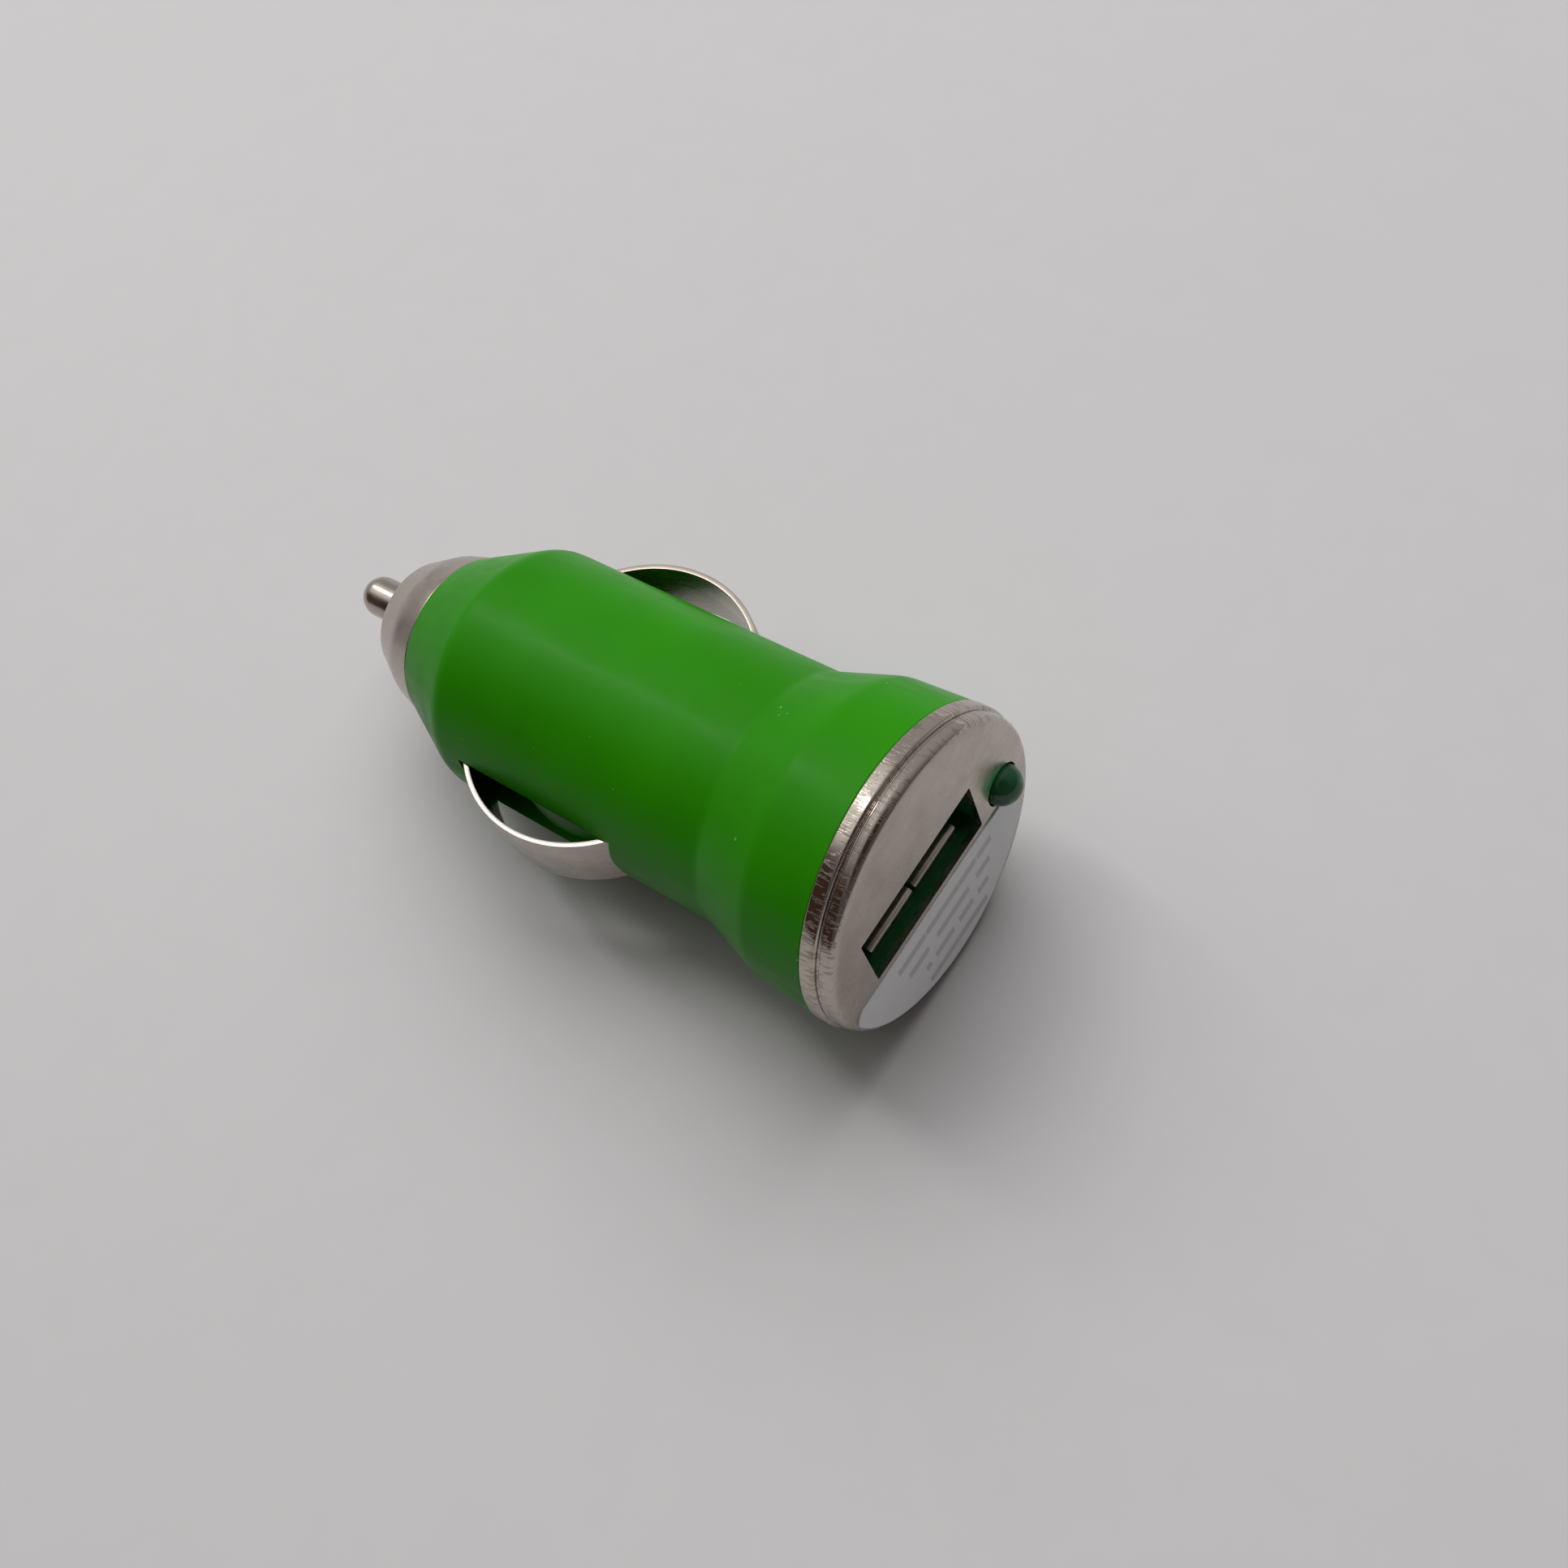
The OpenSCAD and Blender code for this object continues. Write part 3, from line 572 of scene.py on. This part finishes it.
def winding_tree(material):
    """Turns of wire round a core that stands along Z, one ring for each turn and layer."""
    tree = Tree(
        "winding", inner_radius="NodeSocketFloat", wire_radius="NodeSocketFloat", low="NodeSocketFloat",
        x="NodeSocketFloat", rows="NodeSocketInt", layers="NodeSocketInt")
    wire = tree.maths("MULTIPLY", tree.given("wire_radius"), 2.0)
    section = tree.node("GeometryNodeCurvePrimitiveCircle", {
        "Resolution": 10, "Radius": tree.given("wire_radius")}).outputs[0]
    count = tree.maths("MULTIPLY", tree.given("rows"), tree.given("layers"))
    points = tree.node("GeometryNodePoints", {"Count": count}).outputs[0]
    index = tree.node("GeometryNodeInputIndex").outputs[0]
    layer = tree.maths("FLOOR", tree.maths("DIVIDE", index, tree.given("rows")))
    row = tree.maths("SUBTRACT", index, tree.maths("MULTIPLY", layer, tree.given("rows")))
    radius = tree.maths("ADD", tree.given("inner_radius"), tree.maths("MULTIPLY", tree.maths("ADD", layer, 0.5), wire))
    height = tree.maths("ADD", tree.given("low"), tree.maths("MULTIPLY", tree.maths("ADD", row, 0.5), wire))
    place = tree.node("ShaderNodeCombineXYZ", {"X": tree.given("x"), "Z": height}).outputs[0]
    points = tree.node("GeometryNodeSetPosition", {0: points, "Position": place}).outputs[0]
    ring = tree.node("GeometryNodeCurvePrimitiveCircle", {"Resolution": 72, "Radius": 1.0}).outputs[0]
    rings = tree.node("GeometryNodeInstanceOnPoints", {0: points, "Instance": ring, "Scale": radius}).outputs[0]
    real = tree.node("GeometryNodeRealizeInstances", {0: rings}).outputs[0]
    tube = tree.node("GeometryNodeCurveToMesh", {0: real, 1: section}).outputs[0]
    tree.finish(tube, material)
    return tree


# Operators

class CHARGER_OT_moulding(bpy.types.Operator):
    """Finish the green moulding"""

    bl_idname = "charger.moulding"
    bl_label = "Moulding"

    def execute(self, context):
        dress("housing", moulded_green())
        return {"FINISHED"}


def cap_outline():
    """Section of the cap from its face to its rear edge and back along the inside."""
    rear = CAP_LOW.x
    band_x = rear + 1.12 * MM
    bead_r = 11.23 * MM
    inner_r = bead_r - 0.5 * MM
    sheet_x = FACE_X - 0.5 * MM
    rim = 0.62 * MM
    edge = 0.1 * MM
    points = [(FACE_X, 0.0), (FACE_X, 6 * MM), (FACE_X, 10 * MM)]
    points += arc_points((FACE_X - rim, bead_r - rim), rim, 0, 90, 8)
    valley = (band_x + 0.16 * MM, bead_r + 0.05 * MM)
    points += arc_points((valley[0], valley[1]), 0.13 * MM, 0, -180, 10)
    points += arc_points((band_x - 0.22 * MM, CAP_RADIUS - 0.26 * MM), 0.24 * MM, 0, 90, 8)
    points += arc_points((rear + edge, CAP_RADIUS - edge), edge, 90, 180, 4)
    points += [(rear, inner_r), (sheet_x, inner_r), (sheet_x, 0.0)]
    return points


class CHARGER_OT_end_cap(bpy.types.Operator):
    """Build the plated end cap with its slot and lamp hole"""

    bl_idname = "charger.end_cap"
    bl_label = "End cap"

    def execute(self, context):
        cap = new_piece("cap_shell", mesh_from("cap_shell", revolved(cap_outline(), 288)))
        slot = prism_x(
            "slot_cutter", rounded_rectangle(SLOT_W, SLOT_H, 0.15 * MM), FACE_X - 2 * MM, FACE_X + 2 * MM,
            SLOT_Y, SLOT_Z)
        lamp_y = (LAMP_LOW.y + LAMP_HIGH.y) / 2
        lamp_z = (LAMP_LOW.z + LAMP_HIGH.z) / 2
        hole_r = 1.63 * MM
        hole = prism_x(
            "hole_cutter", arc_points((0, 0), hole_r, 0, 354, 59), FACE_X - 2 * MM, FACE_X + 2 * MM,
            lamp_y, lamp_z)
        cut(cap, slot, hole)
        smooth(cap.data, 35)
        cap.data.materials.clear()
        cap.data.materials.append(nickel_face())
        cap.data.materials.append(nickel_band())
        for polygon in cap.data.polygons:
            radius = math.hypot(polygon.center.y, polygon.center.z)
            polygon.material_index = 1 if radius > 11.0 * MM else 0
        stand_for(cap, "end_cap")
        return {"FINISHED"}


class CHARGER_OT_sticker(bpy.types.Operator):
    """Build the sticker under the slot"""

    bl_idname = "charger.sticker"
    bl_label = "Sticker"

    def execute(self, context):
        corner = settings("charger_sticker").corner
        centre_y = (STICKER_HIGH.y + STICKER_LOW.y) / 2
        top = STICKER_HIGH.z
        # The true radius follows from the chord's height and the lowest point
        radius = -STICKER_LOW.z
        corner_y = math.sqrt((radius - corner) ** 2 - (top - corner) ** 2)
        tilt = math.degrees(math.atan2(top - corner, corner_y))
        outline = arc_points((corner_y, top - corner), corner, tilt, 90, 8)
        outline += arc_points((-corner_y, top - corner), corner, 90, 180 - tilt, 8)
        outline += arc_points((0, 0), radius, 180 - tilt, 360 + tilt, 90)[1:-1]
        sticker = prism_x("sticker", outline, STICKER_LOW.x, STICKER_HIGH.x, centre_y)
        sticker.data.materials.append(sticker_paper())
        stand_for(sticker, "face_sticker")
        return {"FINISHED"}


class CHARGER_OT_lamp(bpy.types.Operator):
    """Build the lamp: its clear body, its cup and its legs"""

    bl_idname = "charger.lamp"
    bl_label = "Lamp"

    def execute(self, context):
        y = (LAMP_LOW.y + LAMP_HIGH.y) / 2
        z = (LAMP_LOW.z + LAMP_HIGH.z) / 2
        radius = 1.5 * MM
        flange = (LAMP_HIGH.y - LAMP_LOW.y) / 2
        base = LAMP_LOW.x
        dome = LAMP_HIGH.x - radius
        outline = [(base, 0.0), (base, flange - 0.1 * MM), (base + 0.1 * MM, flange)]
        outline += [(base + 0.9 * MM, flange), (base + 1 * MM, flange - 0.1 * MM), (base + 1.05 * MM, radius)]
        outline += [(x, r) for x, r in reversed(arc_points((dome, 0), radius, 0, 90, 24))]
        outline[-1] = (LAMP_HIGH.x, 0.0)
        lens = new_piece("lamp_lens", mesh_from("lamp_lens", revolved(outline, 96, y, z)), lamp_epoxy())
        stand_for(lens, "led_lamp")
        cup_x = dome - 1.1 * MM
        cup = [
            (base + 0.6 * MM, 0.0), (base + 0.6 * MM, 0.32 * MM), (cup_x - 0.5 * MM, 0.34 * MM),
            (cup_x, 0.62 * MM), (cup_x, 0.52 * MM), (cup_x - 0.3 * MM, 0.2 * MM), (cup_x - 0.3 * MM, 0.0),
        ]
        metal = plain_metal("lamp_cup", (0.6, 0.6, 0.58), (0.75, 0.75, 0.72), 0.25)
        frame_piece = new_piece("lamp_cup", mesh_from("lamp_cup", revolved(cup, 32, y - 0.25 * MM, z)), metal)
        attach(frame_piece, FIXED)
        dress("led_leads", plain_metal("tinned_legs", (0.5, 0.5, 0.5), (0.66, 0.66, 0.65), 0.3))
        return {"FINISHED"}


class CHARGER_OT_nose(bpy.types.Operator):
    """Finish the nose ring and the sprung tip"""

    bl_idname = "charger.nose"
    bl_label = "Nose"

    def execute(self, context):
        dress("nose_ring", nickel_turned("nickel_ring"))
        dress("centre_pin", nickel_turned("nickel_pin", 0.2))
        return {"FINISHED"}


class CHARGER_OT_side_springs(bpy.types.Operator):
    """Build the two bowed side springs"""

    bl_idname = "charger.side_springs"
    bl_label = "Side springs"

    def execute(self, context):
        strip = nickel_strip()
        outer = 9.88 * MM
        thickness = 0.4 * MM
        mid = outer - thickness / 2
        centre_y = BOW_HIGH.y - outer
        foot_y = BOW_LOW.y + thickness / 2
        half = math.degrees(math.acos((foot_y - centre_y) / mid))
        width = BOW_HIGH.z - BOW_LOW.z
        path = [(p[1], p[0] + centre_y) for p in arc_points((0, 0), mid, -half, half, 72)]
        path = [(BOW_LOW.x, foot_y)] + path + [(BOW_HIGH.x, foot_y)]
        for name, side in (("side_spring_right", 1), ("side_spring_left", -1)):
            work = bmesh.new()
            rows = []
            for i, (x, y) in enumerate(path):
                before = Vector(path[max(i - 1, 0)])
                after = Vector(path[min(i + 1, len(path) - 1)])
                along = (after - before).normalized()
                normal = Vector((-along.y, along.x)) * thickness / 2
                if i in (1, len(path) - 2):
                    normal = Vector((0, thickness / 2))
                inner, outside = Vector((x, y)) - normal, Vector((x, y)) + normal
                row = [(inner, -1), (outside, -1), (outside, 1), (inner, 1)]
                rows.append([work.verts.new((p.x, side * p.y, s * width / 2)) for p, s in row])
            for a, b in zip(rows, rows[1:]):
                for k in range(4):
                    work.faces.new((a[k], a[(k + 1) % 4], b[(k + 1) % 4], b[k]))
            work.faces.new(rows[0])
            work.faces.new(rows[-1])
            piece = new_piece(f"{name}_strip", mesh_from(name, work))
            bevelled(piece, 0.09 * MM, 3, 50)
            piece.data.materials.append(strip)
            stand_for(piece, name, name)
        cover = soft_plastic("lead_cover", (0.35, 0.02, 0.015), (0.45, 0.03, 0.02), 0.4)
        for name in ("left", "right"):
            spring_lead(f"side_lead_{name}", cover)
        return {"FINISHED"}


def spring_lead(node, material):
    """Own mesh of a lead, copied from its CAD node and fixed to the charger."""
    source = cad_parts[node]
    mesh = source.data.copy()
    mesh.transform(source.matrix_world)
    mesh.materials.clear()
    piece = new_piece(f"{node}_wire", mesh, material)
    smooth(mesh)
    stand_for(piece, node)
    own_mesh(piece)


def grip_leaf(name, low, high):
    """Sprung leaf whose front edge is rolled down into the slot's floor."""
    thickness = 0.25 * MM
    roll = min(0.55 * MM, (high.z - low.z) / 2)
    crest = high.z
    flat = low.z + thickness
    top = [(low.x, flat), (low.x + 1.1 * MM, flat), (low.x + 2.2 * MM, flat + 0.1 * MM)]
    middle = (low.x + high.x) / 2
    top += [(middle - 0.8 * MM, crest - 0.1 * MM), (middle, crest - 0.02 * MM), (middle + 1.2 * MM, crest)]
    top += [(high.x - roll, crest)]
    front = arc_points((high.x - roll, crest - roll), roll, 90, -90, 12)[1:]
    bottom = [(x, z - thickness) for x, z in reversed(top[:-1])]
    outline = [(x - (low.x + high.x) / 2, z) for x, z in top + front + bottom]
    work = bmesh.new()
    offset = (low.x + high.x) / 2
    sides = [[work.verts.new((x + offset, y, z)) for x, z in outline] for y in (low.y, high.y)]
    for i in range(len(outline)):
        j = (i + 1) % len(outline)
        work.faces.new((sides[0][i], sides[0][j], sides[1][j], sides[1][i]))
    work.faces.new(sides[0])
    work.faces.new(sides[1])
    return new_piece(name, mesh_from(name, work))


class CHARGER_OT_usb_socket(bpy.types.Operator):
    """Finish the USB socket: insulator, contacts and grip springs"""

    bl_idname = "charger.usb_socket"
    bl_label = "USB socket"

    def execute(self, context):
        dress("socket_block", socket_green_painted_shade())
        gold = plain_metal("gold_contact", (0.75, 0.5, 0.18), (0.85, 0.6, 0.24), 0.25)
        for node in ("power_contact", "data_minus_contact", "data_plus_contact", "ground_contact"):
            dress(node, gold)
        nickel = tuple(settings("charger_plating").nickel)
        # Painted highlight: the grip leaves get the plating's nickel made 1.1 to 1.35 times lighter, so that they
        # shine in the dark slot.
        grip = plain_metal("nickel_grip_painted_highlight", shade(nickel, 1.1), shade(nickel, 1.35), 0.36)
        for node in ("grip_spring_left", "grip_spring_right"):
            low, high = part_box(node)
            leaf = bevelled(grip_leaf(f"{node}_leaf", low, high), 0.05 * MM, 2, 50)
            leaf.data.materials.append(grip)
            stand_for(leaf, node)
        return {"FINISHED"}


class CHARGER_OT_tip_spring(bpy.types.Operator):
    """Build the coil spring behind the tip and finish its seat"""

    bl_idname = "charger.tip_spring"
    bl_label = "Tip spring"

    def execute(self, context):
        props = settings("charger_winding")
        steel = plain_metal("spring_wire", (0.4, 0.4, 0.41), (0.55, 0.55, 0.56), 0.28)
        wire = props.spring_wire / 2
        coil = coil_tree(steel).grow(
            "tip_coil", start=COIL_LOW.x, end=COIL_HIGH.x, coil_radius=COIL_HIGH.y - wire, wire_radius=wire,
            turns=props.spring_turns)
        stand_for(coil, "contact_spring")
        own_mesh(coil)
        dress("spring_seat", plain_metal("seat_brass", (0.6, 0.42, 0.14), (0.72, 0.52, 0.2), 0.3))
        return {"FINISHED"}


class CHARGER_OT_inductor(bpy.types.Operator):
    """Build the inductor's turns of wire and finish its core"""

    bl_idname = "charger.inductor"
    bl_label = "Inductor"

    def execute(self, context):
        wire = settings("charger_winding").winding_wire
        copper = plain_metal("winding_copper", (0.55, 0.16, 0.05), (0.72, 0.25, 0.09), 0.3)
        core_r = 1.5 * MM
        outer_r = (WINDING_HIGH.y - WINDING_LOW.y) / 2
        height = WINDING_HIGH.z - WINDING_LOW.z
        rows = int(height / wire)
        turns = winding_tree(copper).grow(
            "winding_turns", inner_radius=core_r, wire_radius=wire / 2, low=WINDING_LOW.z,
            x=(WINDING_LOW.x + WINDING_HIGH.x) / 2, rows=rows, layers=int((outer_r - core_r) / wire))
        stand_for(turns, "inductor_winding")
        dress("inductor_core", soft_plastic("ferrite", (0.035, 0.035, 0.038), (0.06, 0.06, 0.065), 0.6, 2500))
        return {"FINISHED"}


class CHARGER_OT_board(bpy.types.Operator):
    """Finish the circuit board and what is soldered to it"""

    bl_idname = "charger.board"
    bl_label = "Circuit board"

    def execute(self, context):
        dress("circuit_board", soft_plastic("solder_mask", (0.01, 0.11, 0.035), (0.016, 0.15, 0.05), 0.35, 1200))
        black = soft_plastic("black_epoxy", (0.01, 0.01, 0.011), (0.022, 0.022, 0.024), 0.5, 3000)
        for node in ("converter_chip", "diode", "chip_resistors"):
            dress(node, black)
        dress("chip_capacitors", soft_plastic("ceramic", (0.36, 0.26, 0.15), (0.46, 0.35, 0.22), 0.5, 2500))
        tinned = plain_metal("tinned_pins", (0.5, 0.5, 0.5), (0.66, 0.66, 0.65), 0.3)
        for node in ("chip_pins", "diode_leads"):
            dress(node, tinned)
        can = soft_plastic("can_sleeve", (0.012, 0.014, 0.05), (0.02, 0.022, 0.075), 0.35, 900)
        for node in ("input_capacitor", "output_capacitor"):
            dress(node, can)
        return {"FINISHED"}


# Camera place and axes in the frame, and the two points of the part that rest on the floor
CAMERA_PLACE = Vector((69.07, -30.99, 98.26)) * MM
CAMERA_RIGHT = Vector((0.788, 0.558, -0.259))
CAMERA_DOWN = Vector((0.397, -0.783, -0.478))


def floor_matrix():
    """The floor's plane touches the cap's rear edge and the barrel's shoulder."""
    rim = Vector((CAP_LOW.x, 0, -CAP_RADIUS))
    barrel_r = 9.55 * MM
    shoulder_x = -9.3 * MM + 0.6 * MM
    shoulder = Vector((shoulder_x, 0, -barrel_r))
    pitch = math.atan2(shoulder.z - rim.z, rim.x - shoulder.x)
    return Matrix.Translation(rim) @ Matrix.Rotation(pitch, 4, "Y")


def aim(obj, target):
    obj.rotation_mode = "QUATERNION"
    obj.rotation_quaternion = (target - obj.location).to_track_quat("-Z", "Y")


def area_light(name, place, target, size, power, color=(1, 1, 1)):
    data = bpy.data.lights.new(name, "AREA")
    data.shape = "RECTANGLE"
    data.size, data.size_y = size
    data.energy = power
    data.color = color
    lamp = bpy.data.objects.new(name, data)
    lamp.location = place
    bpy.context.scene.collection.objects.link(lamp)
    aim(lamp, target)
    return lamp


def floor_finish():
    """Pale floor with the faintest grain."""
    finish = Finish("floor_card")
    color = tuple(settings("charger_stage").floor)
    grain = finish.noise(300, 4)
    finish.set("Base Color", finish.mix(finish.ramp(grain, 0.3, 0.7), shade(color, 0.985), color))
    finish.set("Roughness", 0.6)
    return finish.material


def room_world():
    """Dim room: paler towards the window, dark where the camera and the hand that holds it are."""
    world = bpy.data.worlds.new("room")
    world.use_nodes = True
    tree = world.node_tree
    background = tree.nodes["Background"]

    def maths(operation, a, b=0.0):
        made = tree.nodes.new("ShaderNodeMath")
        made.operation = operation
        made.use_clamp = True
        for index, value in enumerate((a, b)):
            if isinstance(value, bpy.types.NodeSocket):
                tree.links.new(value, made.inputs[index])
            else:
                made.inputs[index].default_value = value
        return made.outputs[0]

    def mix(factor, a, b):
        made = tree.nodes.new("ShaderNodeMix")
        made.data_type = "RGBA"
        tree.links.new(factor, made.inputs[0])
        for index, value in ((6, a), (7, b)):
            if isinstance(value, bpy.types.NodeSocket):
                tree.links.new(value, made.inputs[index])
            else:
                made.inputs[index].default_value = (*value, 1)
        return made.outputs[2]

    place = tree.nodes.new("ShaderNodeTexCoord").outputs["Generated"]

    def towards(direction, start, end):
        """0 away from a direction, 1 within it, by the cosine of the angle."""
        dot = tree.nodes.new("ShaderNodeVectorMath")
        dot.operation = "DOT_PRODUCT"
        tree.links.new(place, dot.inputs[0])
        dot.inputs[1].default_value = Vector(direction).normalized()
        ramp = tree.nodes.new("ShaderNodeMapRange")
        ramp.interpolation_type = "SMOOTHSTEP"
        tree.links.new(dot.outputs["Value"], ramp.inputs["Value"])
        ramp.inputs["From Min"].default_value = start
        ramp.inputs["From Max"].default_value = end
        return ramp.outputs["Result"]

    wall = mix(towards((-0.6, 0.4, 0.5), -0.55, 0.8), (0.1, 0.097, 0.096), (0.42, 0.415, 0.41))
    wall = mix(towards((-0.55, 0.08, 0.83), 0.82, 0.96), wall, (0.95, 0.94, 0.92))
    sleeve = mix(towards((-0.45, -0.87, 0.1), 0.55, 0.85), wall, (0.055, 0.032, 0.024))
    hand = mix(towards(CAMERA_PLACE, 0.84, 0.96), sleeve, (0.06, 0.035, 0.027))
    tree.links.new(hand, background.inputs["Color"])
    background.inputs["Strength"].default_value = 1.0
    return world


class CHARGER_OT_stage(bpy.types.Operator):
    """Build the floor, the lights and the camera"""

    bl_idname = "charger.stage"
    bl_label = "Stage"

    def execute(self, context):
        scene = context.scene
        half = 1.5
        work = bmesh.new()
        bmesh.ops.create_grid(work, x_segments=1, y_segments=1, size=half)
        bmesh.ops.transform(work, matrix=floor_matrix(), verts=work.verts)
        mesh = bpy.data.meshes.new("floor")
        work.to_mesh(mesh)
        work.free()
        floor = new_piece("floor", mesh, floor_finish())

        middle = Vector((0, 0, 0))
        ceiling = area_light("ceiling", Vector((-0.16, 0.42, 0.7)), middle, (0.8, 0.8), 6.2, (1, 0.99, 0.985))
        ceiling.visible_glossy = False
        area_light("window", Vector((-0.39, 0.076, 0.576)), middle, (0.1, 0.5), 0.8, (1, 0.985, 0.96))
        scene.world = room_world()

        data = bpy.data.cameras.new("camera")
        data.sensor_width = 36
        data.lens = settings("charger_stage").lens
        data.clip_start, data.clip_end = 0.005, 10
        camera = bpy.data.objects.new("camera", data)
        scene.collection.objects.link(camera)
        right = CAMERA_RIGHT.normalized()
        up = (-CAMERA_DOWN + CAMERA_DOWN.dot(right) * right).normalized()
        back = right.cross(up)
        turn = Matrix((right, up, back)).transposed()
        camera.matrix_world = Matrix.Translation(CAMERA_PLACE) @ turn.to_4x4()
        scene.camera = camera
        scene.view_settings.view_transform = "Standard"
        return {"FINISHED"}


class CHARGER_PT_panel(bpy.types.Panel):
    """Lists the steps that build the charger's looks"""

    bl_idname = "CHARGER_PT_panel"
    bl_label = "USB Car Charger"
    bl_space_type = "VIEW_3D"
    bl_region_type = "UI"
    bl_category = "Charger"

    def draw(self, context):
        for operator in OPERATORS:
            self.layout.operator(operator.bl_idname)
        for name, group in GROUPS.items():
            self.layout.label(text=group.__doc__)
            for key in group.__annotations__:
                self.layout.prop(getattr(context.scene, name), key)


GROUPS = {
    "charger_moulding": MouldingSettings,
    "charger_plating": PlatingSettings,
    "charger_sticker": StickerSettings,
    "charger_winding": WindingSettings,
    "charger_stage": StageSettings,
}
OPERATORS = (
    CHARGER_OT_stage,
    CHARGER_OT_moulding,
    CHARGER_OT_end_cap,
    CHARGER_OT_sticker,
    CHARGER_OT_lamp,
    CHARGER_OT_nose,
    CHARGER_OT_side_springs,
    CHARGER_OT_usb_socket,
    CHARGER_OT_tip_spring,
    CHARGER_OT_inductor,
    CHARGER_OT_board,
)
CLASSES = (*GROUPS.values(), *OPERATORS, CHARGER_PT_panel)


def register():
    for cls in CLASSES:
        bpy.utils.register_class(cls)
    for name, group in GROUPS.items():
        setattr(bpy.types.Scene, name, PointerProperty(type=group))


def unregister():
    for name in GROUPS:
        delattr(bpy.types.Scene, name)
    for cls in reversed(CLASSES):
        bpy.utils.unregister_class(cls)


def main():
    register()
    for operator in OPERATORS:
        area, name = operator.bl_idname.split(".")
        getattr(getattr(bpy.ops, area), name)()


if __name__ == "__main__":
    main()
